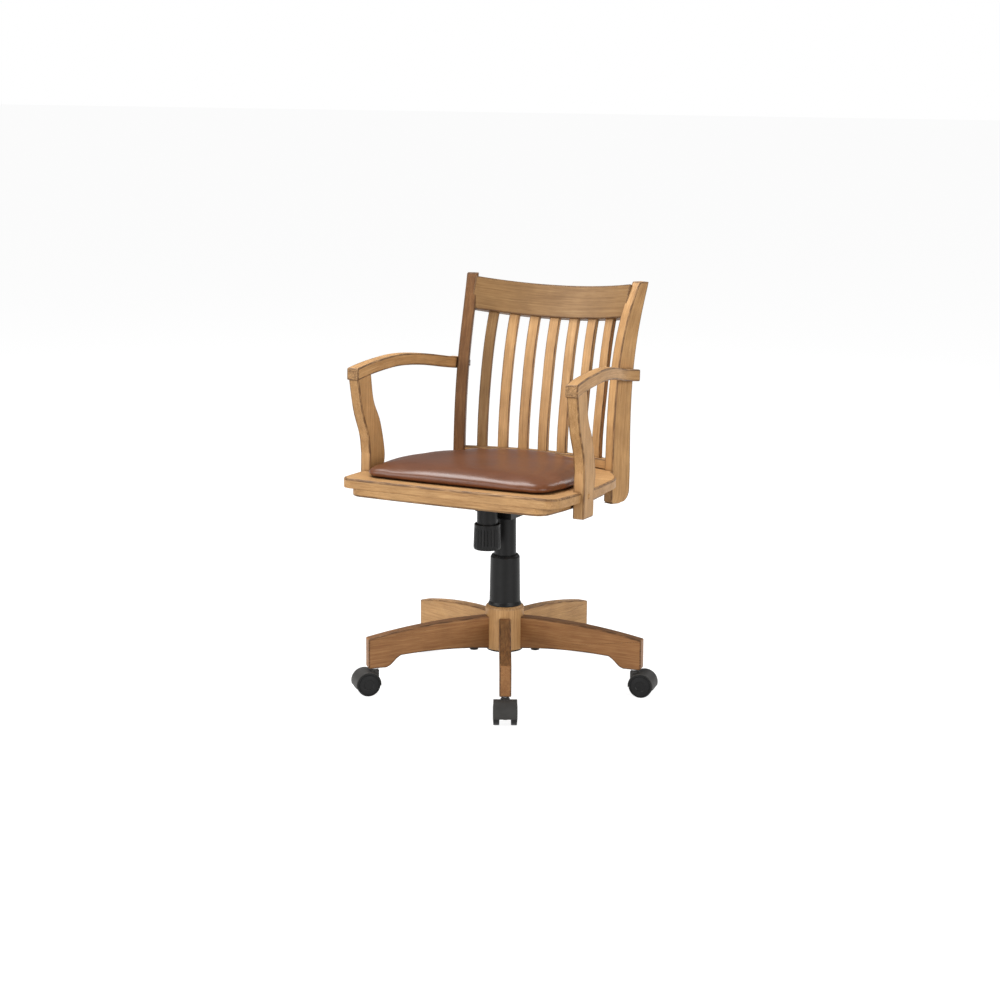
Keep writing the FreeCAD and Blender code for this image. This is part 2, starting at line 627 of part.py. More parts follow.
def make_lever():
    """Lever that presses the valve, drawn on the +X side and then turned to the sitter's right."""
    start = Vector(-5, 0, LEVER_Z)
    bend = Vector(LEVER_BEND_X, 0, LEVER_Z)
    low = Vector(LEVER_GRIP_START - 24, 0, LEVER_REACH_Z)
    end = Vector(LEVER_END - 12, 0, LEVER_REACH_Z)
    rod = cylinder_along(LEVER_RADIUS, start, bend)
    rod = rod.fuse([Part.makeSphere(LEVER_RADIUS, bend), cylinder_along(LEVER_RADIUS, bend, low),
                    Part.makeSphere(LEVER_RADIUS, low), cylinder_along(LEVER_RADIUS, low, end)])
    rod = rod.fuse(lever_bar(LEVER_PIN_RADIUS, LEVER_EAR_GAP + EAR_THICK)).removeSplitter()
    half = 9.0
    grip = box((LEVER_GRIP_START, -half, LEVER_REACH_Z - 5.5), (LEVER_END, half, LEVER_REACH_Z + 5.5))
    grip = grip.makeFillet(4.5, grip.Edges)
    save("lift_lever", mirrored(rod))
    save("lever_grip", mirrored(grip.cut(rod)))


def make_knob():
    outer = turned(((0, KNOB_BOTTOM), (KNOB_RADIUS - 2, KNOB_BOTTOM), (KNOB_RADIUS, KNOB_BOTTOM + 2),
                    (KNOB_TOP_RADIUS, KNOB_TOP - 1), (KNOB_TOP_RADIUS - 1, KNOB_TOP), (0, KNOB_TOP)))
    for index in range(KNOB_FLUTES):
        angle = math.radians(index * 360.0 / KNOB_FLUTES)
        reach = KNOB_RADIUS + KNOB_FLUTE_RADIUS * 0.35
        x, y = reach * math.cos(angle), reach * math.sin(angle)
        outer = outer.cut(cylinder(KNOB_FLUTE_RADIUS, KNOB_BOTTOM + 6, KNOB_TOP - 7, x, y))
    hollow = cylinder(KNOB_TOP_RADIUS - KNOB_WALL, KNOB_BOTTOM + KNOB_FLOOR, KNOB_TOP + 1)
    knob = outer.cut(hollow).cut(cylinder(BOLT_RADIUS + RUN_GAP, KNOB_BOTTOM + 2, KNOB_TOP))
    return moved(knob, y=TENSION_Y)


def make_bolt():
    head = cylinder(BOLT_HEAD_RADIUS, BOLT_HEAD_LOW, BOLT_HEAD_LOW + BOLT_HEAD_HEIGHT, 0, TENSION_Y)
    shank = cylinder(BOLT_RADIUS, KNOB_BOTTOM + 2, BOLT_HEAD_LOW, 0, TENSION_Y)
    return head.fuse(shank)


def make_spring():
    low = KNOB_BOTTOM + KNOB_FLOOR + REST_GAP + SPRING_WIRE
    high = BOSS_BOTTOM - REST_GAP - SPRING_WIRE
    helix = Part.makeHelix((high - low) / SPRING_TURNS, high - low, SPRING_RADIUS)
    circle = Part.Wire([Part.Circle(Vector(SPRING_RADIUS, 0, 0), Vector(0, 1, 0), SPRING_WIRE).toShape()])
    coil = Part.Wire(helix).makePipeShell([circle], True, True)
    pitch = (high - low) / SPRING_TURNS
    print("spring gap between turns", round(pitch - 2 * SPRING_WIRE, 2))
    return moved(coil, y=TENSION_Y, z=low)


# Underside of the bracket plate above the tension bolt, in the chair's frame
APRON_BOTTOM = -BOARD_THICK - APRON_THICK
PLATE_LOW = APRON_BOTTOM - BRACKET_THICK
BOLT_PLATE_Z = SEAT_HEIGHT + PLATE_LOW - TENSION_Y * math.sin(math.radians(SEAT_RAKE))
YOKE_TOP = BOLT_PLATE_Z - YOKE_DROP
BOLT_HEAD_LOW = YOKE_TOP + REST_GAP


def bracket_screw(x, y):
    head = cylinder(BRACKET_SCREW_HEAD, PLATE_LOW - 3, PLATE_LOW, x, y)
    return head.fuse(cylinder(BRACKET_SCREW_RADIUS, PLATE_LOW, PLATE_LOW + BRACKET_SCREW_LENGTH, x, y))


def bracket_screws():
    rows = (BRACKET_SCREW_FRONT, BRACKET_SCREW_REAR)
    return [bracket_screw(x, y) for x in (-BRACKET_SCREW_X, BRACKET_SCREW_X) for y in rows]


def make_bracket():
    plate = box((-BRACKET_HALF, BRACKET_FRONT, PLATE_LOW), (BRACKET_HALF, BRACKET_REAR, APRON_BOTTOM))
    posts = [e for e in plate.Edges if e.BoundBox.ZLength > BRACKET_THICK / 2]
    plate = in_seat(plate.makeFillet(12, posts))
    side = HOUSING_HALF + FREE_GAP
    pieces = []
    for sign in (-1, 1):
        low, high = sorted((sign * side, sign * (side + FLANGE_THICK)))
        flange = box((low, TILT_Y - FLANGE_FRONT, TILT_Z), (high, TILT_Y + FLANGE_REAR, SEAT_HEIGHT))
        eye = cylinder_along(12.0, Vector(low, TILT_Y, TILT_Z), Vector(high, TILT_Y, TILT_Z))
        pieces.append(flange.fuse(eye))
    ear_x = BOLT_HEAD_RADIUS + 2.5
    near, far = TENSION_Y - YOKE_FRONT, TENSION_Y + YOKE_REAR
    for sign in (-1, 1):
        low, high = sorted((sign * ear_x, sign * (ear_x + YOKE_THICK)))
        pieces.append(box((low, near, YOKE_TOP - YOKE_THICK), (high, far, SEAT_HEIGHT)))
    pieces.append(box((-ear_x, near, YOKE_TOP - YOKE_THICK), (ear_x, far, YOKE_TOP)))
    above = in_seat(box((-BRACKET_HALF, BRACKET_FRONT, PLATE_LOW), (BRACKET_HALF, BRACKET_REAR, BOARD_THICK)))
    pieces = [piece.cut(above) for piece in pieces]
    body = plate.fuse(pieces)
    slot_half = BOLT_RADIUS + 1
    slot = box((-slot_half, TENSION_Y - SLOT_FRONT, YOKE_TOP - YOKE_THICK - 1),
               (slot_half, TENSION_Y + SLOT_REAR, YOKE_TOP + 1))
    body = body.cut(slot)
    for cut in [tilt_bar(TILT_PIN_RADIUS, PIN_REACH)] + [in_seat(screw) for screw in bracket_screws()]:
        body = body.cut(cut)
    return body.removeSplitter()


def make_mechanism():
    save("mechanism_housing", mirrored(make_housing()))
    make_lever()
    save("tension_knob", make_knob())
    save("tension_bolt", make_bolt())
    save("tension_spring", make_spring())
    save("seat_bracket", make_bracket())
    save("tilt_pin", tilt_bar(TILT_PIN_RADIUS, PIN_REACH))
    save("bracket_screws", Part.makeCompound([in_seat(screw) for screw in bracket_screws()]))


# Seat
def seat_wire(z, inset, side_inset=0.0):
    """Outline of the seat at height z, drawn in by `inset` all round and more at the sides."""
    pull = inset + side_inset
    front = SEAT_FRONT + inset
    corner_x = SEAT_HALF_FRONT - SEAT_CORNER - side_inset
    front_y = front + SEAT_FRONT_BOW
    turn = SEAT_CORNER - inset
    centre_y = front_y + turn
    diagonal = turn * math.sqrt(0.5)
    half_front = corner_x + turn
    side_x = (SEAT_HALF_SIDE + SEAT_HALF_REAR) / 2 + SEAT_SIDE_BOW
    right = [Vector(corner_x, front_y, z), Vector(corner_x + diagonal, centre_y - diagonal, z),
             Vector(half_front, centre_y, z), Vector(SEAT_HALF_MID - pull, SEAT_MID_Y, z),
             Vector(SEAT_HALF_SIDE - pull, 0, z), Vector(side_x - pull, SEAT_REAR_SIDE_Y * 0.6, z),
             Vector(SEAT_HALF_REAR - pull, SEAT_REAR_SIDE_Y, z),
             Vector(SEAT_REAR_CORNER_X - pull, SEAT_REAR_CORNER_Y - pull, z)]
    left = [Vector(-p.x, p.y, z) for p in right]
    rear = Vector(0, SEAT_REAR - pull, z)
    edges = [arc(left[0], Vector(0, front, z), right[0]), arc(right[0], right[1], right[2]),
             arc(right[2], right[3], right[4]), arc(right[4], right[5], right[6]), line(right[6], right[7]),
             arc(right[7], rear, left[7]), line(left[7], left[6]), arc(left[6], left[5], left[4]),
             arc(left[4], left[3], left[2]), arc(left[2], left[1], left[0])]
    return Part.Wire(edges)


def slab(low, high, low_ease, high_ease, side_inset=0.0):
    """Board with eased edges between two heights."""
    wires = [seat_wire(low, low_ease, side_inset), seat_wire(low + low_ease, 0, side_inset),
             seat_wire(high - high_ease, 0, side_inset), seat_wire(high, high_ease, side_inset)]
    return Part.makeLoft(wires, True, True)


def cushion_wire(z, inset):
    """Rounded outline of the cushion at height z, drawn in by `inset`."""
    turn = CUSHION_CORNER
    front = CUSHION_FRONT + inset
    half = CUSHION_HALF_FRONT - inset
    rear_half = CUSHION_HALF_REAR - inset
    rear_y = CUSHION_REAR_SIDE - inset
    diagonal = turn * (1 - math.sqrt(0.5))
    side_y = front + CUSHION_BOW
    right = [Vector(half - turn, side_y, z), Vector(half - diagonal, side_y + diagonal, z),
             Vector(half, side_y + turn, z),
             Vector(CUSHION_HALF_MID - inset, (front + rear_y) / 2 - 40, z),
             Vector(rear_half + 4, rear_y - 24, z), Vector(rear_half - 1.5, rear_y - 3, z),
             Vector(rear_half - 20, rear_y + 6, z)]
    left = [Vector(-p.x, p.y, z) for p in right]
    rear = Vector(0, CUSHION_REAR - inset, z)
    edges = [arc(left[0], Vector(0, front, z), right[0]), arc(right[0], right[1], right[2]),
             arc(right[2], right[3], right[4]), arc(right[4], right[5], right[6]),
             arc(right[6], rear, left[6]), arc(left[6], left[5], left[4]), arc(left[4], left[3], left[2]),
             arc(left[2], left[1], left[0])]
    return Part.Wire(edges)


def make_cushion():
    wires = [cushion_wire(z, inset) for z, inset in CUSHION_LEVELS]
    return Part.makeLoft(wires, True, False)


# Back
def sweep_back(z):
    return POST_SWEEP * (max(z, 0.0) / POST_TOP) ** POST_SWEEP_POWER


def post_depth(z):
    share = max(z, 0.0) / POST_TOP
    return POST_DEPTH - POST_TAPER * share - POST_TOP_TAPER * share ** 8


TURN = math.radians(BACK_TURN)
POST_ACROSS = Vector(-math.cos(TURN), math.sin(TURN), 0)
POST_BACK = Vector(math.sin(TURN), math.cos(TURN), 0)


def post_corner(z):
    flare = POST_FLARE * (max(z, 0.0) / POST_TOP) ** POST_FLARE_POWER
    return Vector(POST_X + flare, POST_Y + sweep_back(z), z)


def post_ring(z):
    return eased_ring(post_corner(z), POST_ACROSS, POST_BACK, POST_WIDTH, post_depth(z), WOOD_EASE)


def make_back_post():
    heights = [POST_TOP * share for share in (0, 0.16, 0.34, 0.52, 0.68, 0.81, 0.91, 1.0)]
    rings = [post_ring(z) for z in heights]
    upper = Part.makeLoft(rings, True, False)
    foot = Part.Face(rings[0]).extrude(Vector(0, 0, POST_FOOT))
    turn = POST_FOOT_ROUND
    start = post_corner(POST_FOOT + turn) + POST_BACK * (POST_DEPTH - turn) - POST_ACROSS
    side = POST_ACROSS * (POST_WIDTH + 2)
    outward, down = POST_BACK * (turn + 2), Vector(0, 0, -turn - 2)
    corner = [start, start + outward, start + outward + down, start + down, start]
    corner_block = Part.Face(Part.makePolygon(corner)).extrude(side)
    corner_block = corner_block.cut(cylinder_along(turn, start - POST_ACROSS, start + side + POST_ACROSS))
    return upper.fuse(foot.cut(corner_block)).removeSplitter()


def back_face_y(z):
    """Y of the middle of the back's hollow face, level with a point z on the posts."""
    mid_post = POST_Y + sweep_back(z) + POST_WIDTH / 2 * math.sin(TURN)
    return mid_post + BACK_RADIUS * (1 - math.cos(TURN))


def rail_band(height):
    """Curved rail with its hollow face's middle at the origin and its lower edge at z 0."""
    radius = BACK_RADIUS
    ring = eased_ring(Vector(0, radius, 0), Vector(0, 1, 0), Vector(0, 0, 1), RAIL_THICK, height, WOOD_EASE)
    span = 2 * BACK_TURN + 2
    band = spin_z(Part.Face(ring), span / 2).revolve(Vector(0, 0, 0), Vector(0, 0, 1), -span)
    return moved(band, y=-radius)


def make_crest(posts):
    drop = BACK_RADIUS * (1 - math.cos(math.radians(BACK_TURN - 1.5)))
    tilt = math.radians(CREST_TILT)
    band = rail_band(CREST_HEIGHT)
    band.rotate(Vector(0, 0, 0), Vector(1, 0, 0), -CREST_TILT)
    end_y = POST_Y + sweep_back(CREST_END_Z) + POST_WIDTH * math.sin(TURN) + CREST_SETBACK
    band = moved(band, y=end_y + drop * math.cos(tilt), z=CREST_END_Z - drop * math.sin(tilt))
    return trimmed(band, posts)


def trimmed(shape, cutters):
    """Cut a shape by its neighbours and keep its largest piece."""
    for cutter in cutters:
        shape = shape.cut(cutter)
    return max(shape.Solids, key=lambda solid: solid.Volume)


def slat_setback(z):
    share = min(1.0, max(0.0, (z - SLAT_BOW_START) / (SLAT_BOW_END - SLAT_BOW_START)))
    return RAIL_SETBACK + (RAIL_THICK - SLAT_THICK) / 2 + SLAT_BOW * share ** 2 * (3 - 2 * share)


def make_slats(rails):
    pitch = (SLAT_WIDTH + SLAT_GAP) / BACK_RADIUS
    slats = []
    for index in range(SLAT_COUNT):
        angle = (index - (SLAT_COUNT - 1) / 2) * pitch
        across = Vector(-math.cos(angle), math.sin(angle), 0)
        back = Vector(math.sin(angle), math.cos(angle), 0)
        rings = []
        for share in (0.02, 0.14, 0.3, 0.45, 0.6, 0.8, 1.03):
            z = CREST_END_Z * share
            hollow = BACK_RADIUS * (1 - math.cos(angle))
            front = Vector(BACK_RADIUS * math.sin(angle), back_face_y(z) - hollow, z)
            corner = front - across * (SLAT_WIDTH / 2) + back * slat_setback(z)
            rings.append(eased_ring(corner, across, back, SLAT_WIDTH, SLAT_THICK, WOOD_EASE / 2))
        slats.append(trimmed(Part.makeLoft(rings, True, False), rails))
    return Part.makeCompound(slats)


# Arms
def arm_top(y):
    """Height of an arm's top: a smooth curve through the points of ARM_LINE."""
    spans = list(zip(ARM_LINE, ARM_LINE[1:]))
    start, end = next((span for span in spans if y <= span[1][0]), spans[-1])
    run = end[0] - start[0]
    share = (y - start[0]) / run
    blend = share ** 2 * (3 - 2 * share)
    ease_in, ease_out = share * (1 - share) ** 2, share ** 2 * (share - 1)
    return start[1] + (end[1] - start[1]) * blend + run * (start[2] * ease_in + end[2] * ease_out)


def arm_centre(y):
    share = min(1.0, (y - ARM_FRONT_Y) / (ARM_BEND_Y - ARM_FRONT_Y))
    bow = ARM_BOW * max(0.0, math.sin(math.pi * share)) ** 1.5
    return ARM_FRONT_X - (y - ARM_FRONT_Y) * math.tan(math.radians(ARM_SPLAY)) + bow


def make_arm():
    run = ARM_BEND_Y - ARM_FRONT_Y
    places = [(ARM_FRONT_Y + run * share, 0.0) for share in (0, 0.13, 0.3, 0.5, 0.7, 0.87, 1.0)]
    places += [(ARM_BEND_Y + (ARM_REAR_Y - ARM_BEND_Y) * share, share) for share in (0.5, 1.0)]
    rings = []
    for y, bend in places:
        share = (y - ARM_FRONT_Y) / (ARM_REAR_Y - ARM_FRONT_Y)
        width = ARM_WIDTH + (ARM_REAR_WIDTH - ARM_WIDTH) * share
        x = arm_centre(y) + (ARM_REAR_X - arm_centre(ARM_REAR_Y)) * bend ** 1.6
        corner = Vector(x + width / 2, y, arm_top(y) - ARM_THICK)
        rings.append(eased_ring(corner, Vector(-1, 0, 0), Vector(0, 0, 1), width, ARM_THICK, WOOD_EASE))
    return Part.makeLoft(rings, True, False)


def make_arm_post(arm):
    """Bent post between the seat's side and the arm, drawn flat and then turned by the splay."""
    head = arm_top(ARM_FRONT_Y) - ARM_THICK / 2
    front, rear = ARM_POST_FRONT, ARM_POST_FRONT + ARM_POST_DEPTH
    bend = ARM_POST_WAIST_Z
    rise = head - bend
    lean = ARM_POST_LEAN
    head_front, head_rear = Vector(0, front - lean, head), Vector(0, rear - lean - 2, head)
    foot_front, foot_rear = Vector(0, front, ARM_POST_FOOT), Vector(0, rear, ARM_POST_FOOT)
    waist, seat_rear = Vector(0, front, bend), Vector(0, rear, 0)
    front_edge = curve([waist, Vector(0, front - lean * 0.16, bend + rise * 0.24),
                        Vector(0, front - lean * 0.62, bend + rise * 0.55), head_front])
    rear_edge = curve([head_rear, Vector(0, rear - lean * 0.8, bend + rise * 0.66),
                       Vector(0, rear - lean * 0.28, bend + rise * 0.38),
                       Vector(0, rear + ARM_POST_BELLY, bend), seat_rear])
    edges = [line(foot_front, waist), front_edge, line(head_front, head_rear), rear_edge,
             line(seat_rear, foot_rear), line(foot_rear, foot_front)]
    post = Part.Face(Part.Wire(edges)).extrude(Vector(ARM_POST_WIDTH, 0, 0))
    post = moved(post, x=ARM_FRONT_X - ARM_POST_WIDTH / 2, y=-ARM_FRONT_Y)
    post = moved(spin_z(post, ARM_POST_SPLAY, ARM_FRONT_X, 0), y=ARM_FRONT_Y)
    return trimmed(post, [arm])


def arm_bolt():
    """Bolt through the back post into the rear end of the arm, with its domed head inside."""
    z = arm_top(ARM_REAR_Y) - ARM_THICK / 2
    middle = post_corner(z) + POST_BACK * (post_depth(z) / 2) + POST_ACROSS * POST_WIDTH
    head_end = middle + POST_ACROSS * 2.5
    shank_end = middle - POST_ACROSS * (POST_WIDTH + 14)
    head = cylinder_along(ARM_BOLT_HEAD, middle, head_end)
    return head.fuse(cylinder_along(ARM_BOLT_RADIUS, middle, shank_end))


def side_place(z):
    """Point on the outer face of an arm post, and the way inwards from it."""
    splay = math.radians(ARM_POST_SPLAY)
    inward = Vector(-math.cos(splay), -math.sin(splay), 0)
    rearward = Vector(-math.sin(splay), math.cos(splay), 0)
    run = ARM_POST_FRONT + ARM_POST_DEPTH / 2 - ARM_FRONT_Y
    centre = Vector(ARM_FRONT_X, ARM_FRONT_Y, z) + rearward * run
    return centre - inward * (ARM_POST_WIDTH / 2), inward


def side_screw():
    """Screw behind the plug, through the arm post into the edge of the seat board."""
    face, inward = side_place(-BOARD_THICK / 2)
    seat = face + inward * 8
    head = cylinder_along(SCREW_HEAD, seat, seat + inward * 3)
    return head.fuse(cylinder_along(SCREW_RADIUS, seat + inward * 3, seat + inward * SCREW_LENGTH))


def side_plug():
    face, inward = side_place(-BOARD_THICK / 2)
    plug = cylinder_along(PLUG_RADIUS, face + inward * 8, face)
    dome_radius = (PLUG_RADIUS ** 2 + PLUG_DOME ** 2) / (2 * PLUG_DOME)
    dome = Part.makeSphere(dome_radius, face - inward * (PLUG_DOME - dome_radius))
    cap = cylinder_along(PLUG_RADIUS, face, face - inward * (PLUG_DOME + 1)).common(dome)
    return plug.fuse(cap).removeSplitter()


def foot_place(depth):
    """Point at a depth inside a back post's foot, level with the middle of the seat board."""
    place = post_corner(0) + POST_BACK * (POST_DEPTH * 0.42) + POST_ACROSS * depth
    return Vector(place.x, place.y, -BOARD_THICK / 2)


def foot_screw():
    """Screw through the foot of a back post into the rear of the seat board."""
    neck = foot_place(SCREW_DEPTH + 3)
    head = cylinder_along(SCREW_HEAD, foot_place(SCREW_DEPTH), neck)
    return head.fuse(cylinder_along(SCREW_RADIUS, neck, foot_place(SCREW_DEPTH + SCREW_LENGTH)))


def foot_plug():
    """Plug that fills the hole over a foot screw, flush with the post."""
    return cylinder_along(FLUSH_PLUG, foot_place(0), foot_place(SCREW_DEPTH))


def make_upper():
    post = make_back_post()
    posts = [post, mirrored(post)]
    arm = make_arm().cut(post)
    arm = max(arm.Solids, key=lambda solid: solid.Volume)
    arm_post = make_arm_post(arm)
    right_steel = [arm_bolt(), side_screw(), foot_screw()]
    steel = right_steel + [mirrored(piece) for piece in right_steel]
    right_plugs = [side_plug(), foot_plug()]
    plugs = right_plugs + [mirrored(piece) for piece in right_plugs]
    fixings = steel + plugs

    board = slab(-BOARD_THICK, 0, JOINT_EASE, EDGE_EASE)
    for cutter in posts + [arm_post, mirrored(arm_post)] + steel:
        board = board.cut(cutter)
    apron = slab(APRON_BOTTOM, -BOARD_THICK, EDGE_EASE, JOINT_EASE, APRON_INSET)
    for cutter in posts + [arm_post, mirrored(arm_post)] + bracket_screws():
        apron = apron.cut(cutter)
    for screw in bracket_screws():
        board = board.cut(screw)
    save("seat_board", in_seat(largest(board)))
    save("seat_apron", in_seat(largest(apron)))
    save("seat_cushion", in_seat(make_cushion()))

    lower_rail = trimmed(moved(rail_band(LOWER_RAIL_HEIGHT), y=back_face_y(0) + RAIL_SETBACK), posts)
    crest = make_crest(posts)
    save("lower_rail", in_seat(lower_rail))
    save("crest_rail", in_seat(crest))
    save("back_slats", in_seat(make_slats([lower_rail, crest])))
    for side, flip in (("right", False), ("left", True)):
        pieces = {"back_post": post, "arm": arm, "arm_post": arm_post}
        for name, shape in pieces.items():
            whole = mirrored(shape) if flip else shape
            for fixing in fixings:
                if whole.BoundBox.intersect(fixing.BoundBox):
                    whole = whole.cut(fixing)
            save(name + "_" + side, in_seat(largest(whole)))
    save("frame_bolts", in_seat(Part.makeCompound(steel)))
    save("side_plugs", in_seat(Part.makeCompound(plugs)))


def largest(shape):
    return max(shape.Solids, key=lambda solid: solid.Volume)


make_base()
make_casters()
make_column()
make_mechanism()
make_upper()
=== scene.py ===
import json
import math

import bmesh
import bpy
from mathutils import Matrix, Vector


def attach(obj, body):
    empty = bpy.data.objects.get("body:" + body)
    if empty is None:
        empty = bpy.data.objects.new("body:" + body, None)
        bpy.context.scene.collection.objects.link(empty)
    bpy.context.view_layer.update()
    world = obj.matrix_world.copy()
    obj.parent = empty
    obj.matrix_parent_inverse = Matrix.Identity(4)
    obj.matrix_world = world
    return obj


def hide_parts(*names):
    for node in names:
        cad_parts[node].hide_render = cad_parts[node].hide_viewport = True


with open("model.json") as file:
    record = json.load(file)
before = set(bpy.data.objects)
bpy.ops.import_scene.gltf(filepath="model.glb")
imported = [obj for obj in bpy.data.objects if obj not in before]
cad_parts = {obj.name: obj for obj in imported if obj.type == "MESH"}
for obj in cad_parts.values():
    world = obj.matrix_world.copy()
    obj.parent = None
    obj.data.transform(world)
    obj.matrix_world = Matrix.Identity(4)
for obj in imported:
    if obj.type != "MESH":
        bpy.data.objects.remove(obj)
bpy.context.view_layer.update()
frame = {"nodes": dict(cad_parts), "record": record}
millimetre = 0.001  # shapes are drawn in millimetres and scaled once, when a piece is made
cornerShare = 0.49  # a rounded corner takes at most this share of the side before or after it
mitreLimit = 0.6  # keeps a sharp corner from running far inwards
gluedEdge = 0.8  # edges this small are glued joints, which take no stain
softEdge = 1.6  # the stain fades over this width beside an edge
sharpAngle = math.radians(50)
print("frame loaded")


# Paths and outlines

def bend(points, closed=True, steps=5):  # each point is (x, y) or (x, y, corner radius)
    path = []
    count = len(points)
    for i, point in enumerate(points):
        here = Vector(point[:2])
        if len(point) < 3 or (not closed and i in (0, count - 1)):
            path.append(here)
            continue
        before = Vector(points[i - 1][:2]) - here
        after = Vector(points[(i + 1) % count][:2]) - here
        half = before.angle(after) / 2
        reach = min(point[2] / math.tan(half), before.length * cornerShare, after.length * cornerShare)
        towards = (before.normalized() + after.normalized()).normalized()
        middle = here + towards * (reach / math.cos(half))
        start = here + before.normalized() * reach - middle
        end = here + after.normalized() * reach - middle
        turn = start.angle(end)
        for k in range(steps + 1):
            share = k / steps
            mix = start * math.sin((1 - share) * turn) + end * math.sin(share * turn)
            path.append(middle + mix / math.sin(turn))
    return path


def arcThrough(a, b, c, steps):  # points on the circle through a, b and c, without the last
    a, b, c = Vector(a), Vector(b), Vector(c)
    ab, ac = b - a, c - a
    cross = ab.x * ac.y - ab.y * ac.x
    if abs(cross) < 1e-6:
        return [a.lerp(c, k / steps) for k in range(steps)]
    offset = Vector((ac.y * ab.length_squared - ab.y * ac.length_squared,
                     ab.x * ac.length_squared - ac.x * ab.length_squared)) / (2 * cross)
    centre = a + offset
    radius = offset.length
    first = math.atan2(a.y - centre.y, a.x - centre.x)
    last = math.atan2(c.y - centre.y, c.x - centre.x)
    sweep = (last - first) % math.tau if cross > 0 else -((first - last) % math.tau)
    angles = [first + sweep * k / steps for k in range(steps)]
    return [centre + Vector((math.cos(t), math.sin(t))) * radius for t in angles]


def through(points, steps=6):  # a smooth open curve through the points
    points = [Vector(p) for p in points]
    ends = [points[0] * 2 - points[1]] + points + [points[-1] * 2 - points[-2]]
    path = []
    for a, b, c, d in zip(ends, ends[1:], ends[2:], ends[3:]):
        for k in range(steps):
            t = k / steps
            path.append(b * (1 - t) ** 2 * (1 + 2 * t) + c * t * t * (3 - 2 * t)
                        + (c - a) / 2 * t * (1 - t) ** 2 - (d - b) / 2 * t * t * (1 - t))
    return path + [points[-1]]


def shrunk(outline, inset):  # the outline moved inwards
    area = sum(a.x * b.y - b.x * a.y for a, b in zip(outline, outline[1:] + outline[:1]))
    side = 1 if area > 0 else -1
    moved = []
    for i, here in enumerate(outline):
        before, after = here - outline[i - 1], outline[(i + 1) % len(outline)] - here
        a = Vector((-before.y, before.x)).normalized()
        b = Vector((-after.y, after.x)).normalized()
        middle = (a + b).normalized()
        moved.append(here + middle * side * inset / max(middle.dot(b), mitreLimit))
    return moved


# Solids: each gives rings of (point, grain place, glaze); glaze is the dark stain rubbed into an edge

def edgeSteps(edge, fade, steps=4):  # (inset, depth, glaze) from the flat face, round the edge, to the side
    turns = [math.pi / 2 * k / steps for k in range(steps, -1, -1)]
    dark = 1.0 if edge > gluedEdge else 0.0
    rows = [(edge * (1 - math.cos(t)), edge * (1 - math.sin(t)), dark) for t in turns]
    if fade:
        rows = [(edge + fade, 0.0, 0.0)] + rows + [(0.0, edge + fade, 0.0)]
    return rows


# A flat outline given a thickness, with both its edges rounded; toSpace and grain turn it into place
def plate(outline, low, high, edge, fade=softEdge, toSpace=None, grain=None, glaze=None, lowEdge=None):
    toSpace = toSpace or (lambda u, v, w: (u, v, w))
    grain = grain or (lambda u, v, w: (u, v, w))
    levels = [(inset, low + depth, dark) for inset, depth, dark in edgeSteps(lowEdge or edge, fade)]
    levels += [(inset, high - depth, dark) for inset, depth, dark in reversed(edgeSteps(edge, fade))]
    rings = []
    for inset, w, dark in levels:
        ring = []
        for p in shrunk(outline, inset):
            tint = max(dark, glaze(p.x, p.y) if glaze and inset < edge else 0.0)
            ring.append((Vector(toSpace(p.x, p.y, w)), Vector(grain(p.x, p.y, w)), tint))
        rings.append(ring)
    return rings


def barSection(width, depth, edge, fade, steps=4):  # a rectangle with rounded, stained corners
    points = []
    halfWidth, halfDepth = width / 2 - edge, depth / 2 - edge
    for x, y, start in ((1, 1, 0), (-1, 1, 90), (-1, -1, 180), (1, -1, 270)):
        lead = Vector((0, -y * fade)) if start in (0, 180) else Vector((-x * fade, 0))
        trail = Vector((-x * fade, 0)) if start in (0, 180) else Vector((0, -y * fade))
        arc = []
        for k in range(steps + 1):
            turn = math.radians(start + 90 * k / steps)
            arc.append(Vector((x * halfWidth + edge * math.cos(turn),
                               y * halfDepth + edge * math.sin(turn))))
        points += [(arc[0] + lead, 0.0)] + [(place, 1.0) for place in arc] + [(arc[-1] + trail, 0.0)]
    return points


def bar(stations, edge, offset=0.0, fade=softEdge):  # stations are (centre, across, back, width, depth)
    rings = []
    travelled = offset

    def addRing(centre, across, back, width, depth, inset, along, endGlaze):
        left = max(edge - inset, edge * 0.15)
        section = barSection(width - 2 * inset, depth - 2 * inset, left, fade * 0.8)
        ring = []
        for place, dark in section:
            tint = max(dark, endGlaze) if endGlaze is not None else dark
            point = centre + across * place.x + back * place.y
            ring.append((point, Vector((along, place.x, place.y)), tint))
        rings.append(ring)

    last = len(stations) - 1
    for i, (centre, across, back, width, depth) in enumerate(stations):
        if i:
            travelled += (centre - stations[i - 1][0]).length
        if i in (0, last):
            inward = (stations[1 if i == 0 else last - 1][0] - centre).normalized()
            steps = edgeSteps(edge, fade)
            for inset, step, dark in (steps if i == 0 else reversed(steps)):
                endGlaze = None if step > edge else dark
                addRing(centre + inward * step, across, back, width, depth, inset, travelled, endGlaze)
        else:
            addRing(centre, across, back, width, depth, 0.0, travelled, None)
    return rings


# A turned solid from (radius, height) points; shape changes the radius round the turn
def lathe(profile, segments=72, shape=None, glaze=None):
    rings = []
    for radius, height in profile:
        ring = []
        for k in range(segments):
            turn = math.tau * k / segments
            reach = shape(turn, radius, height) if shape else radius
            place = Vector((reach * math.cos(turn), reach * math.sin(turn), height))
            dark = glaze(radius, height) if glaze else 0.0
            ring.append((place, Vector((height, place.x, place.y)), dark))
        rings.append(ring)
    return rings


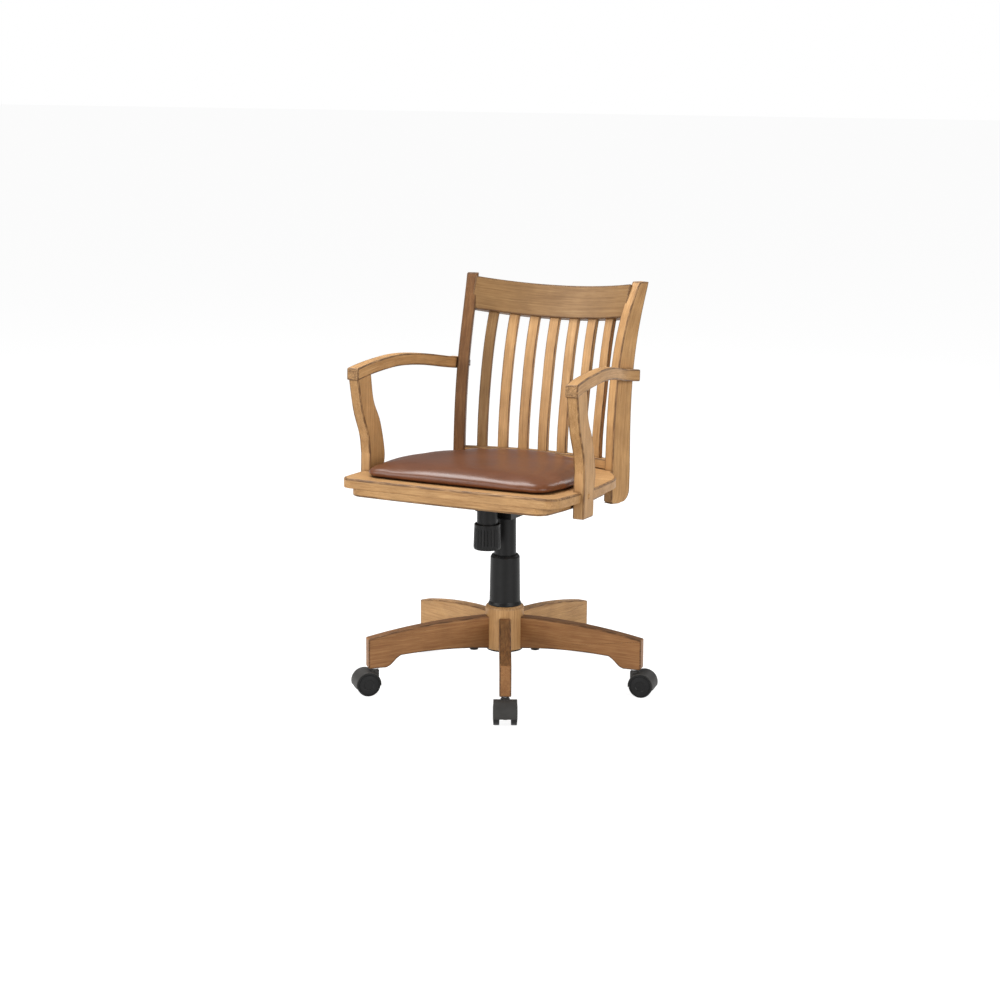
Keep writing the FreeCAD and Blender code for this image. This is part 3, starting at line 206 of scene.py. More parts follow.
def skin(rings, loop=False):  # faces between rings; a loop joins its last ring to its first
    size = len(rings[0])
    faces = []
    pairs = list(zip(range(len(rings)), range(1, len(rings))))
    if loop:
        pairs.append((len(rings) - 1, 0))
    for a, b in pairs:
        for k in range(size):
            n = (k + 1) % size
            faces.append((a * size + k, a * size + n, b * size + n, b * size + k))
    if not loop:
        faces.append(tuple(reversed(range(size))))
        faces.append(tuple((len(rings) - 1) * size + k for k in range(size)))
    return faces


# Each solid is a list of rings, or (rings, True) where the last ring joins the first
def makePiece(name, solids, body, node, material, place=None, shift=(0, 0, 0)):
    place = place or Matrix()
    points, faces, grains, glazes = [], [], [], []
    for rings in solids:
        loop = isinstance(rings, tuple)
        rings = rings[0] if loop else rings
        start = len(points)
        points += [place @ point[0] for ring in rings for point in ring]
        grains += [point[1] + Vector(shift) for ring in rings for point in ring]
        glazes += [point[2] for ring in rings for point in ring]
        faces += [tuple(start + k for k in face) for face in skin(rings, loop)]
    mesh = bpy.data.meshes.new(name)
    mesh.from_pydata([p * millimetre for p in points], [], faces)
    mesh.attributes.new("grain", "FLOAT_VECTOR", "POINT").data.foreach_set(
        "vector", [c * millimetre for g in grains for c in g])
    mesh.attributes.new("glaze", "FLOAT", "POINT").data.foreach_set("value", glazes)
    piece = bpy.data.objects.new(name, mesh)
    bpy.context.scene.collection.objects.link(piece)
    tidyFaces(piece)
    mesh.materials.append(material)
    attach(piece, body)
    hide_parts(node)
    return piece


def placed(rings, place):
    return [[(place @ point, grain, dark) for point, grain, dark in ring] for ring in rings]


def tidyFaces(piece):
    shape = bmesh.new()
    shape.from_mesh(piece.data)
    bmesh.ops.recalc_face_normals(shape, faces=shape.faces)
    for face in shape.faces:
        face.smooth = True
    for edge in shape.edges:
        edge.smooth = edge.calc_face_angle(0) < sharpAngle
    shape.to_mesh(piece.data)
    shape.free()
    weighted = piece.modifiers.new("weighted normals", "WEIGHTED_NORMAL")
    weighted.keep_sharp = True


mirror = Matrix.Diagonal((-1, 1, 1, 1))


# Materials

def newMaterial(name):
    material = bpy.data.materials.new(name)
    material.use_nodes = True
    return material, material.node_tree, material.node_tree.nodes["Principled BSDF"]


def add(tree, kind, inputs=None, **settings):
    made = tree.nodes.new(kind)
    for key, value in settings.items():
        setattr(made, key, value)
    for key, value in (inputs or {}).items():
        if isinstance(value, bpy.types.NodeSocket):
            tree.links.new(value, made.inputs[key])
        else:
            made.inputs[key].default_value = value
    return made


def ramp(tree, factor, stops):
    made = add(tree, "ShaderNodeValToRGB", {"Fac": factor})
    for i, (place, colour) in enumerate(stops):
        stop = made.color_ramp.elements[i] if i < 2 else made.color_ramp.elements.new(place)
        stop.position = place
        stop.color = (*colour, 1)
    return made.outputs["Color"]


def noise(tree, vector, scale, detail=3.0):
    made = add(tree, "ShaderNodeTexNoise", {"Vector": vector, "Scale": scale, "Detail": detail})
    return made.outputs["Fac"]


def grainNoise(tree, vector, scale, detail, rough):  # scale is along, across and through the grain
    mapped = add(tree, "ShaderNodeMapping", {"Vector": vector, "Scale": scale})
    return add(tree, "ShaderNodeTexNoise", {"Vector": mapped.outputs["Vector"], "Scale": 1.0,
                                            "Detail": detail, "Roughness": rough}).outputs["Fac"]


def math2(tree, operation, a, b):
    made = add(tree, "ShaderNodeMath", {0: a, 1: b}, operation=operation)
    return made.outputs[0]


def vectorMath(tree, operation, inputs):
    return add(tree, "ShaderNodeVectorMath", inputs, operation=operation).outputs[0]


def mixColour(tree, factor, a, b, blend="MIX"):
    made = add(tree, "ShaderNodeMix", data_type="RGBA", blend_type=blend)
    for socket, value in ((made.inputs[0], factor), (made.inputs[6], a), (made.inputs[7], b)):
        if isinstance(value, bpy.types.NodeSocket):
            tree.links.new(value, socket)
        else:
            socket.default_value = value
    return made.outputs[2]


def connect(tree, shader, colour, rough, height, strength, distance, shine):
    bump = add(tree, "ShaderNodeBump", {"Height": height, "Strength": strength, "Distance": distance})
    for source, name in ((colour, "Base Color"), (rough, "Roughness"), (bump.outputs["Normal"], "Normal")):
        tree.links.new(source, shader.inputs[name])
    shader.inputs["Specular IOR Level"].default_value = shine


def makeWood(name, look):
    material, tree, shader = newMaterial(name)
    place = add(tree, "ShaderNodeAttribute", attribute_name="grain").outputs["Vector"]
    drift = add(tree, "ShaderNodeTexNoise", {"Vector": place, "Scale": 9.0, "Detail": 2.0})
    drift = vectorMath(tree, "SUBTRACT", {0: drift.outputs["Color"], 1: (0.5, 0.5, 0.5)})
    drift = vectorMath(tree, "SCALE", {0: drift, "Scale": look["waviness"]})
    warped = vectorMath(tree, "ADD", {0: place, 1: drift})
    figure = grainNoise(tree, warped, (5, 170, 170), 6, 0.68)
    fibre = grainNoise(tree, warped, (18, 1100, 1100), 4, 0.7)
    pores = grainNoise(tree, place, (55, 2100, 2100), 2, 0.5)
    patch = noise(tree, place, 16.0)
    tone = math2(tree, "ADD", math2(tree, "MULTIPLY", figure, 0.42), math2(tree, "MULTIPLY", fibre, 0.58))
    colour = ramp(tree, tone, list(zip((0.31, 0.44, 0.56, 0.69), look["tones"])))
    poreMask = ramp(tree, pores, [(0.58, (0, 0, 0)), (0.70, (1, 1, 1))])
    colour = mixColour(tree, math2(tree, "MULTIPLY", poreMask, look["pores"]), colour, (*look["pore"], 1))
    shade = ramp(tree, patch, [(0.30, (0.85, 0.82, 0.79)), (0.70, (1.10, 1.09, 1.08))])
    colour = mixColour(tree, 1.0, colour, shade, "MULTIPLY")
    glazeAndPaintedShade = add(tree, "ShaderNodeAttribute", attribute_name="glaze").outputs["Fac"]
    patchy = grainNoise(tree, place, (30, 260, 260), 3, 0.6)
    uneven = ramp(tree, patchy, [(0.34, (0.25, 0.25, 0.25)), (0.60, (1, 1, 1))])
    glazeAndPaintedShade = math2(tree, "MULTIPLY", math2(tree, "MULTIPLY", glazeAndPaintedShade, uneven), look["glaze"])
    # Painted shade: ambient occlusion darkens corners, creases and joins between parts towards the edge colour, on
    # top of the real glaze
    paintedNookShade = add(tree, "ShaderNodeAmbientOcclusion", {"Distance": look["paintedNookShadeReach"]}, samples=8).outputs["AO"]
    paintedNookShade = math2(tree, "MULTIPLY", ramp(tree, paintedNookShade, [(0.30, (1, 1, 1)), (0.80, (0, 0, 0))]), look["paintedNookShade"])
    glazeAndPaintedShade = math2(tree, "MAXIMUM", glazeAndPaintedShade, paintedNookShade)
    colour = mixColour(tree, glazeAndPaintedShade, colour, (*look["edge"], 1))
    rough = ramp(tree, fibre, [(0.3, (look["rough"] + 0.1,) * 3), (0.7, (look["rough"],) * 3)])
    height = math2(tree, "SUBTRACT", fibre, math2(tree, "MULTIPLY", poreMask, 0.7))
    connect(tree, shader, colour, rough, height, 0.35, 0.0003, 0.28)
    return material


def makePlastic(name, look):
    material, tree, shader = newMaterial(name)
    place = add(tree, "ShaderNodeTexCoord").outputs["Object"]
    stipple = noise(tree, place, look["stipple"], 2.0)
    cloud = noise(tree, place, 35.0)
    colour = ramp(tree, cloud, [(0.3, look["dark"]), (0.7, look["light"])])
    rough = ramp(tree, cloud, [(0.3, (look["rough"] - 0.05,) * 3), (0.7, (look["rough"] + 0.06,) * 3)])
    connect(tree, shader, colour, rough, stipple, 0.18, 0.0002, 0.2)
    shader.inputs["Metallic"].default_value = look.get("metal", 0.0)
    return material


def makeVinyl(name, look):
    material, tree, shader = newMaterial(name)
    place = add(tree, "ShaderNodeTexCoord").outputs["Object"]
    cells = add(tree, "ShaderNodeTexVoronoi", {"Vector": place, "Scale": 520.0}, feature="F1")
    creases = noise(tree, place, 260.0, 4.0)
    cloud = noise(tree, place, 11.0)
    colour = ramp(tree, cloud, [(0.28, look["dark"]), (0.72, look["light"])])
    speck = ramp(tree, creases, [(0.35, (0.90, 0.90, 0.90)), (0.65, (1.05, 1.05, 1.05))])
    colour = mixColour(tree, 1.0, colour, speck, "MULTIPLY")
    rough = ramp(tree, cloud, [(0.3, (look["rough"] - 0.04,) * 3), (0.7, (look["rough"] + 0.05,) * 3)])
    pits = math2(tree, "MULTIPLY", cells.outputs["Distance"], 0.6)
    height = math2(tree, "ADD", pits, math2(tree, "MULTIPLY", creases, 0.5))
    connect(tree, shader, colour, rough, height, 0.12, 0.0003, 0.25)
    shader.inputs["Coat Weight"].default_value = 0.25
    shader.inputs["Coat Roughness"].default_value = 0.25
    return material


# edge is the colour of the glaze rubbed into edges, and also of the painted shade in nooks and joins
woodLook = {
    "tones": ((0.29, 0.140, 0.050), (0.44, 0.240, 0.095), (0.57, 0.335, 0.145), (0.70, 0.450, 0.215)),
    "pore": (0.17, 0.080, 0.030), "pores": 0.28, "edge": (0.100, 0.048, 0.020), "glaze": 0.9,
    "paintedNookShadeReach": 0.009, "paintedNookShade": 0.8, "waviness": 0.0035, "rough": 0.42}
crestLook = dict(woodLook, tones=(
    (0.15, 0.072, 0.025), (0.225, 0.122, 0.046), (0.29, 0.168, 0.069), (0.375, 0.24, 0.108)))
# Darker tones for the left back post, as painted shade: it faces away from the key light
paintedShadeLook = dict(woodLook, tones=(
    (0.09, 0.037, 0.014), (0.15, 0.066, 0.025), (0.22, 0.108, 0.042), (0.31, 0.170, 0.074)))
baseLook = dict(woodLook, edge=(0.075, 0.034, 0.013), glaze=1.0, tones=(
    (0.165, 0.066, 0.022), (0.265, 0.118, 0.042), (0.36, 0.178, 0.068), (0.46, 0.252, 0.107)))
chairWood = makeWood("worn brown wood", woodLook)
crestWood = makeWood("crest wood", crestLook)
paintedShadeWood = makeWood("brown wood darkened as painted shade", paintedShadeLook)
baseWood = makeWood("base wood", baseLook)
# The chair's lighter tones on the back legs and the hub, as painted light where the front and fill lamps reach them
paintedLightBaseWood = makeWood("base wood lightened as painted light", woodLook)
plugWood = makeWood("end grain plug", dict(woodLook, waviness=0.03))
plasticLook = {
    "dark": (0.008, 0.008, 0.008), "light": (0.013, 0.013, 0.013), "rough": 0.40, "stipple": 900.0}
# A lighter, rougher plastic for the caster hoods, as painted sheen where they face the front lamps; the wheels keep
# the darker plastic
paintedSheenHoodLook = dict(plasticLook, dark=(0.036, 0.034, 0.032), light=(0.050, 0.048, 0.045), rough=0.5)
blackPlastic = makePlastic("black plastic", plasticLook)
casterPlastic = makePlastic("caster plastic", plasticLook)
paintedSheenHoodPlastic = makePlastic("caster hood plastic with painted sheen", paintedSheenHoodLook)
blackPaint = makePlastic("black paint", dict(plasticLook, rough=0.38, stipple=500.0))
steelLook = {
    "dark": (0.48, 0.48, 0.49), "light": (0.64, 0.64, 0.65), "rough": 0.32, "stipple": 1400.0, "metal": 1.0}
brightSteel = makePlastic("bright steel", steelLook)
vinylLook = {"dark": (0.115, 0.037, 0.014), "light": (0.165, 0.058, 0.023), "rough": 0.36}
brownVinyl = makeVinyl("brown vinyl", vinylLook)
print("materials made")


# Base: hub and five legs

base = {"legs": 5, "turn": 27.0, "reach": 301.5, "thick": 24, "endTop": 119.5, "foot": 56, "hubTop": 149,
        "crown": 8, "pad": 38, "scoop": 32, "scoopTop": 80, "archTop": 84.5, "edge": 2.0,
        # pale lists the legs that get the lighter wood as painted light
        "topGlaze": 0.6, "pale": (2, 3), "grainSlope": 0.05, "grainStep": (700, 90)}
hub = {"radius": 41, "bore": 20.6, "bottom": 78, "top": 172, "edge": 7, "rimGlaze": 0.5}


def legPlace(index):
    return Matrix.Rotation(math.radians(base["turn"] + index * 360 / base["legs"] - 90), 4, "Z")


def makeLegs():
    end, pad = base["reach"], base["reach"] - base["pad"]
    scoop, inner = pad - base["scoop"], hub["radius"] / 2
    rise = base["scoopTop"] - base["foot"]
    topMiddle = ((end + inner) / 2, (base["endTop"] + base["hubTop"]) / 2 + base["crown"])
    ogee = [(pad, base["foot"]), (pad - base["scoop"] * 0.3, base["foot"] + rise * 0.2),
            (pad - base["scoop"] * 0.7, base["foot"] + rise * 0.72), (scoop, base["scoopTop"])]
    heel = [(end, base["endTop"]), (end, base["foot"], 4), (pad, base["foot"])]
    outline = bend(heel, closed=False)[1:-1]
    outline += through(ogee, 5)[:-1]
    outline += arcThrough(ogee[-1], ((scoop + inner) / 2, base["archTop"]), (inner, hub["bottom"]), 14)
    outline += [Vector((inner, hub["bottom"])), Vector((inner, (hub["bottom"] + base["hubTop"]) / 2))]
    top = arcThrough((inner, base["hubTop"]), topMiddle, (end, base["endTop"]), 22)
    nose = [top[-1], (end, base["endTop"], 3), (end, base["foot"])]
    outline += top + bend(nose, closed=False)[1:-1]
    half = base["thick"] / 2

    def topStain(u, v):  # the top faces are stained darker than the sides
        onTop = v > base["endTop"] - base["edge"] and u < end - base["edge"]
        return base["topGlaze"] if onTop else 0.0

    shape = plate(outline, -half, half, base["edge"], toSpace=lambda u, v, w: (u, w, v),
                  grain=lambda u, v, w: (u, v + u * base["grainSlope"], w), glaze=topStain)
    for index in range(base["legs"]):
        number = index + 1
        # the legs listed under pale get the lighter wood as painted light
        wood = paintedLightBaseWood if index in base["pale"] else baseWood
        shift = (index * base["grainStep"][0], index * base["grainStep"][1], 0)
        makePiece("leg%d" % number, [shape], "base", "leg_%d" % number, wood,
                  legPlace(index), shift)

    def rimStain(radius, height):
        onRim = height > hub["top"] - hub["edge"] + 2 and radius > hub["radius"] - 4
        return hub["rimGlaze"] if onRim else 0.0

    ring = bend([(hub["bore"], hub["bottom"]), (hub["radius"], hub["bottom"], 3),
                 (hub["radius"], hub["top"], hub["edge"]), (hub["bore"], hub["top"])])
    turned = lathe(ring, 96, glaze=rimStain)
    # the hub gets the lighter wood as painted light
    makePiece("baseHub", [(turned, True)], "base", "base_hub", paintedLightBaseWood)
    print("base made")


makeLegs()


# Casters

caster = {"stem": 286, "axle": 304, "wheel": 25, "width": 48, "hoodInner": 26, "hoodOuter": 28.2,
          "lowOuter": 18, "lowInner": 21, "hoodEdge": 0.9, "shoulder": 1.8, "shoulderReach": 8,
          "web": 9, "webLow": 17.5, "neck": 9.5, "neckBore": 6.2, "neckFoot": 30, "neckTop": 54.3,
          "wheelWidth": 12.5, "bore": 3.1, "boss": 7, "hollow": 3, "wheelGap": 0.3, "hoodSteps": 40}


def makeCasters():
    centre, height, half = caster["axle"], caster["wheel"], caster["width"] / 2
    inner, outer = caster["hoodInner"], caster["hoodOuter"]
    first = math.asin((caster["lowOuter"] - height) / outer)
    last = math.pi - math.asin((caster["lowInner"] - height) / outer)
    steps = caster["hoodSteps"]
    turns = [first + (last - first) * k / steps for k in range(steps + 1)]
    arc = [Vector((centre + outer * math.cos(t), height + outer * math.sin(t))) for t in turns]
    back = [Vector((centre + inner * math.cos(t), height + inner * math.sin(t))) for t in reversed(turns)]

    def upright(u, v, w):
        return u, w, v

    hood = plate(arc + back, -half, half, caster["hoodEdge"], 0, upright)
    for ring in hood:  # the hood's shoulders round over towards its open sides
        for point, _, _ in ring:
            past = (abs(point.y) - half) / caster["shoulderReach"] + 1
            away = Vector((point.x - centre, point.z - height))
            if past > 0 and away.length > inner + 0.5:
                scale = 1 - caster["shoulder"] * past ** 2 / away.length
                point.x, point.z = centre + away.x * scale, height + away.y * scale
    webTurn = math.asin((caster["webLow"] - height) / inner)
    webTurns = [webTurn + (math.pi - 2 * webTurn) * k / steps for k in range(steps + 1)]
    web = [Vector((centre + inner * math.cos(t), height + inner * math.sin(t))) for t in webTurns]
    webShape = plate(web, -caster["web"] / 2, caster["web"] / 2, 1.0, 0, upright)
    foot, top, bore, reach = caster["neckFoot"], caster["neckTop"], caster["neckBore"], caster["neck"]
    neckProfile = bend([(bore, foot), (reach, foot), (reach, top - 5.3), (reach - 1.5, top - 3.3, 1),
                        (reach - 1.5, top, 1), (bore, top)])
    neck = placed(lathe(neckProfile, 40), Matrix.Translation((caster["stem"], 0, 0)))
    face, inside = half - caster["wheelWidth"], caster["web"] / 2 + caster["wheelGap"]
    hollow, boss, bore = face + caster["hollow"], caster["boss"], caster["bore"]
    wheelProfile = bend([
        (bore, inside), (boss, inside), (boss, hollow), (19, hollow, 1), (21, face, 1),  # inner side
        (height, face, 2), (height, half - 0.2, 2.2), (21.8, half - 0.2),  # tread
        (21.4, half - 1.0), (20.4, half - 1.0), (19.8, half),  # groove beside the tread
        (11, half + 0.9, 3), (9.6, half - 0.5, 0.8), (0.05, half - 0.2),  # dished disc with its centre
        (0.05, half - 2.9), (bore, half - 2.9)])
    wheel = lathe(wheelProfile, 72)
    for index in range(base["legs"]):
        number = index + 1
        place = legPlace(index)
        makePiece("casterHousing%d" % number, [hood, webShape, (neck, True)],
                  "caster_%d" % number, "caster_housing_%d" % number, paintedSheenHoodPlastic, place)
        for word, sign in (("left", 1), ("right", -1)):
            turned = Matrix.Translation((centre, 0, height)) @ Matrix.Rotation(-math.pi / 2 * sign, 4, "X")
            node = "wheel_%s_%d" % (word, number)
            makePiece("wheel%s%d" % (word.capitalize(), number), [(wheel, True)], node, node,
                      casterPlastic, place @ turned)
    print("casters made")


makeCasters()


# Column covers and tension knob

covers = {"foot": 172, "top": 280, "radius": 31, "footRadius": 32.6, "flare": 35, "wall": 3.2,
          "upperBottom": 245, "upperTop": 366, "upperRadius": 22.4, "upperFoot": 23.6, "upperWall": 1.6,
          "mouth": 14.2, "cap": 3}
knob = {"y": -84, "bottom": 308, "top": 362, "radius": 28.5, "topRadius": 27, "wall": 3, "floor": 5,
        "bore": 5.1, "ribs": 24, "groove": 1.3, "rows": 14}


def makeCovers():
    c = covers
    lip = c["upperFoot"] + 0.4
    lower = bend([(c["footRadius"] - c["wall"], c["foot"]), (c["flare"], c["foot"], 0.8),
                  (c["flare"], c["foot"] + 2.5, 1), (c["footRadius"], c["foot"] + 8, 4),
                  (c["radius"], c["top"] - 5, 1.5), (c["radius"] - 0.8, c["top"] - 3.5, 0.5),
                  (c["radius"] - 3, c["top"], 1), (lip, c["top"], 0.6), (lip, c["top"] - 2.5),
                  (c["radius"] - c["wall"], c["top"] - 6)])
    makePiece("coverLower", [(lathe(lower, 96), True)], "base", "cover_lower",
              blackPlastic)
    upper = bend([(c["upperFoot"] - c["upperWall"], c["upperBottom"]),
                  (c["upperFoot"], c["upperBottom"], 0.6), (c["upperRadius"], c["upperTop"], 0.6),
                  (c["mouth"], c["upperTop"]), (c["mouth"], c["upperTop"] - c["cap"]),
                  (c["upperRadius"] - c["upperWall"], c["upperTop"] - c["cap"])])
    makePiece("coverUpper", [(lathe(upper, 96), True)], "lift", "cover_upper",
              blackPlastic)
    print("column covers made")


def makeKnob():
    k = knob
    low, high = k["bottom"] + 6, k["top"] - 7  # the grooves run between these
    inner = k["topRadius"] - k["wall"] + 0.2
    floor = k["bottom"] + k["floor"]

    def groove(turn, radius, height):
        if radius < inner:
            return radius
        fade = max(0.0, min(1.0, (height - low) / 2, (high - height) / 2))
        return radius - k["groove"] * fade * max(0.0, math.cos(turn * k["ribs"])) ** 4

    rows = []
    for t in range(k["rows"] + 1):
        radius = k["radius"] - (k["radius"] - k["topRadius"]) * t / k["rows"]
        rows.append((radius, low - 1 + (high - low + 2) * t / k["rows"]))
    profile = bend([(k["bore"], k["bottom"] + 2), (k["bore"], k["bottom"]),
                    (k["radius"] - 1, k["bottom"], 3), rows[0]], closed=False)
    profile += [Vector(row) for row in rows[1:]]
    profile += bend([rows[-1], (k["topRadius"], k["top"], 1.5), (k["topRadius"] - k["wall"], k["top"], 1),
                     (k["topRadius"] - k["wall"], floor), (k["bore"], floor)], closed=False)[1:]
    makePiece("tensionKnob", [(lathe(profile, 288, groove), True)], "knob", "tension_knob",
              blackPlastic, Matrix.Translation((0, k["y"], 0)))
    print("knob made")


makeCovers()
makeKnob()


# Seat: everything from here is drawn in the seat's own frame, raked backwards

seat = {"height": 458, "rake": 2.0, "board": 20, "apron": 16, "front": -278.5, "bow": 5, "corner": 30,
        "halfFront": 243.5, "halfMid": 248.5, "midY": -110, "halfSide": 238.5, "halfRear": 193,
        "sideBow": 7, "rearSideY": 112, "rearX": 184, "rearY": 166, "rear": 200, "apronInset": 22,
        "edge": 3.5, "joint": 0.5}
seatRake = Matrix.Rotation(math.radians(-seat["rake"]), 4, "X")
seatPlace = Matrix.Translation((0, 0, seat["height"])) @ seatRake
grainStart = {  # each wooden piece is cut from its own place in the wood
    "seatBoard": (40, 0, 300), "seatApron": (900, 35, 500), "backPostRight": (1300, 0, 0),
    "backPostLeft": (2900, 0, 0), "crestRail": (4100, 0, 0), "lowerRail": (5200, 0, 0),
    "armRight": (7100, 0, 0), "armPostRight": (7700, 0, 60), "armLeft": (8300, 0, 0),
    "armPostLeft": (8900, 0, 60)}


def makeWooden(name, solids, node, wood=chairWood, place=None):
    return makePiece(name, solids, "seat", node, wood, seatPlace @ (place or Matrix()),
                     grainStart.get(name, (0, 0, 0)))


def seatOutline(sideInset):
    s = seat
    front, turn = s["front"], s["corner"]
    cornerX, frontY = s["halfFront"] - turn - sideInset, front + s["bow"]
    diagonal = turn * math.sqrt(0.5)
    sideX = (s["halfSide"] + s["halfRear"]) / 2 + s["sideBow"]
    right = [(cornerX, frontY), (cornerX + diagonal, frontY + turn - diagonal),
             (cornerX + turn, frontY + turn), (s["halfMid"] - sideInset, s["midY"]),
             (s["halfSide"] - sideInset, 0), (sideX - sideInset, s["rearSideY"] * 0.6),
             (s["halfRear"] - sideInset, s["rearSideY"]), (s["rearX"] - sideInset, s["rearY"] - sideInset)]
    left = [(-x, y) for x, y in right]
    path = arcThrough(left[0], (0, front), right[0], 24) + arcThrough(right[0], right[1], right[2], 10)
    path += arcThrough(right[2], right[3], right[4], 14) + arcThrough(right[4], right[5], right[6], 10)
    path += [Vector(right[6])] + arcThrough(right[7], (0, s["rear"] - sideInset), left[7], 24)
    path += [Vector(left[7])]
    path += arcThrough(left[6], left[5], left[4], 10) + arcThrough(left[4], left[3], left[2], 14)
    return path + arcThrough(left[2], left[1], left[0], 10)


def makeSeat():
    s = seat
    board = plate(seatOutline(0), -s["board"], 0, s["edge"], lowEdge=s["joint"])
    makeWooden("seatBoard", [board], "seat_board")
    apron = plate(seatOutline(s["apronInset"]), -s["board"] - s["apron"], -s["board"], s["joint"],
                  lowEdge=s["edge"])
    makeWooden("seatApron", [apron], "seat_apron")
    print("seat made")


makeSeat()


# Back: posts, rails and slats

back = {"radius": 430, "turn": 24.5, "postX": 190, "postY": 121.7, "postWidth": 25, "foot": -70, "top": 395,
        "sweep": 80, "sweepPower": 2.75, "flare": 16, "flarePower": 5, "depth": 51, "taper": 14,
        "topTaper": 12, "footRound": 28, "rail": 22, "setback": 3, "crest": 72.5, "crestEnd": 319.5, "crestTilt": 19,
        "crestSetback": 6, "lowerRail": 22, "slats": 7, "slatWidth": 23, "slatGap": 22, "slatThick": 11,
        "slatBow": 6.5, "bowStart": 40, "bowEnd": 190, "edge": 2.2, "crestEdge": 2.4, "slatEdge": 1.6,
        "slatFade": 1.2, "slatSteps": 26, "railTurn": 25.2, "railSteps": 44, "tenon": 6,
        "slatGrain": (6000, 410)}
backTurn = math.radians(back["turn"])


def sweepBack(z):
    return back["sweep"] * (max(z, 0) / back["top"]) ** back["sweepPower"]


def postCorner(z):
    flare = back["flare"] * (max(z, 0) / back["top"]) ** back["flarePower"]
    return Vector((back["postX"] + flare, back["postY"] + sweepBack(z), z))


def postDepth(z):
    share = max(z, 0) / back["top"]
    depth = back["depth"] - back["taper"] * share - back["topTaper"] * share ** 8
    low = z - back["foot"]
    turn = back["footRound"]
    return depth if low > turn else depth - turn + math.sqrt(max(turn ** 2 - (turn - low) ** 2, 0))


def backFace(z):
    middle = back["postY"] + sweepBack(z) + back["postWidth"] / 2 * math.sin(backTurn)
    return middle + back["radius"] * (1 - math.cos(backTurn))


def makePosts():
    across = Vector((-math.cos(backTurn), math.sin(backTurn), 0))
    deep = Vector((math.sin(backTurn), math.cos(backTurn), 0))
    heights = [back["foot"] + h for h in (0, 4, 9, 15, 22, 30)]  # closer together round the foot
    heights += [back["top"] * k / 34 for k in range(-3, 35)]
    stations = []
    for z in heights:
        depth = postDepth(z)
        centre = postCorner(z) + across * back["postWidth"] / 2 + deep * depth / 2
        stations.append((centre, across, deep, back["postWidth"], depth))
    post = bar(stations, back["edge"])
    makeWooden("backPostRight", [post], "back_post_right")
    # the left post gets the darker wood as painted shade
    makeWooden("backPostLeft", [post], "back_post_left", paintedShadeWood, mirror)


def onCrest(turn, radial, height):  # a place on the crest rail, which leans back by its own tilt
    tilt = math.radians(-back["crestTilt"])
    drop = back["radius"] * (1 - math.cos(math.radians(back["turn"] - 1.5)))
    endY = (back["postY"] + sweepBack(back["crestEnd"]) + back["postWidth"] * math.sin(backTurn)
            + back["crestSetback"])
    reach = back["radius"] + radial
    flat = Vector((reach * math.sin(turn), reach * math.cos(turn) - back["radius"], height))
    middle = Vector((0, endY + drop * math.cos(tilt), back["crestEnd"] + drop * math.sin(tilt)))
    return Matrix.Rotation(tilt, 3, "X") @ flat + middle


def makeRails():
    widest, steps = back["railTurn"], back["railSteps"]
    turns = [math.radians(-widest + 2 * widest * k / steps) for k in range(steps + 1)]
    stations = []
    for turn in turns:
        centre = onCrest(turn, back["rail"] / 2, back["crest"] / 2)
        up = (onCrest(turn, back["rail"] / 2, back["crest"]) - centre).normalized()
        out = (onCrest(turn, back["rail"], back["crest"] / 2) - centre).normalized()
        stations.append((centre, up, out, back["crest"], back["rail"]))
    makeWooden("crestRail", [bar(stations, back["crestEdge"])], "crest_rail", crestWood)
    stations = []
    lineY = backFace(0) + back["setback"] - back["radius"]
    for turn in turns:
        out = Vector((math.sin(turn), math.cos(turn), 0))
        middle = out * (back["radius"] + back["rail"] / 2) + Vector((0, lineY, back["lowerRail"] / 2))
        stations.append((middle, Vector((0, 0, 1)), out, back["lowerRail"], back["rail"]))
    makeWooden("lowerRail", [bar(stations, back["edge"])], "lower_rail")
    print("posts and rails made")


def makeSlats():
    parts = []
    pitch = (back["slatWidth"] + back["slatGap"]) / back["radius"]
    setback = back["setback"] + back["rail"] / 2
    for index in range(back["slats"]):
        turn = (index - (back["slats"] - 1) / 2) * pitch
        across = Vector((-math.cos(turn), math.sin(turn), 0))
        deep = Vector((math.sin(turn), math.cos(turn), 0))
        low, top = back["tenon"], onCrest(turn, back["rail"] / 2, 0).z + back["tenon"]
        stations = []
        for k in range(back["slatSteps"] + 1):
            z = low + (top - low) * k / back["slatSteps"]
            front = Vector((back["radius"] * math.sin(turn),
                            backFace(z) - back["radius"] * (1 - math.cos(turn)), z))
            share = min(1.0, max(0.0, (z - back["bowStart"]) / (back["bowEnd"] - back["bowStart"])))
            bowed = setback + back["slatBow"] * share ** 2 * (3 - 2 * share)
            stations.append((front + deep * bowed, across, deep, back["slatWidth"], back["slatThick"]))
        grainPlace = back["slatGrain"][0] + index * back["slatGrain"][1]
        parts.append(bar(stations, back["slatEdge"], grainPlace, back["slatFade"]))
    slats = makeWooden("backSlats", parts, "back_slats")
    slats.data.materials.append(crestWood)  # the first slat gets the darker crest wood as painted shade, as it faces away from the key light
    for face in slats.data.polygons[:len(slats.data.polygons) // back["slats"]]:
        face.material_index = 1
    print("slats made")


makePosts()
makeRails()
makeSlats()


# Arms and their front posts

arm = {"line": ((-218, 217.8, 0.23), (-130, 231, 0.10), (-50, 236, -0.01), (50, 228.6, -0.13),
                (120, 218.8, -0.12), (176, 214, -0.05)),
       "frontY": -218, "frontX": 246, "splay": 7, "rearY": 172, "rearX": 215.5, "bendY": 124,
       "thick": 25, "width": 27, "rearWidth": 21, "bow": 8, "edge": 2.6, "steps": 40,
       "postWidth": 24, "postSplay": 2.5, "postFoot": -54, "postFront": -165, "postDepth": 53,
       "postEdge": 2.4, "waist": 36, "lean": 51.5, "belly": 4}


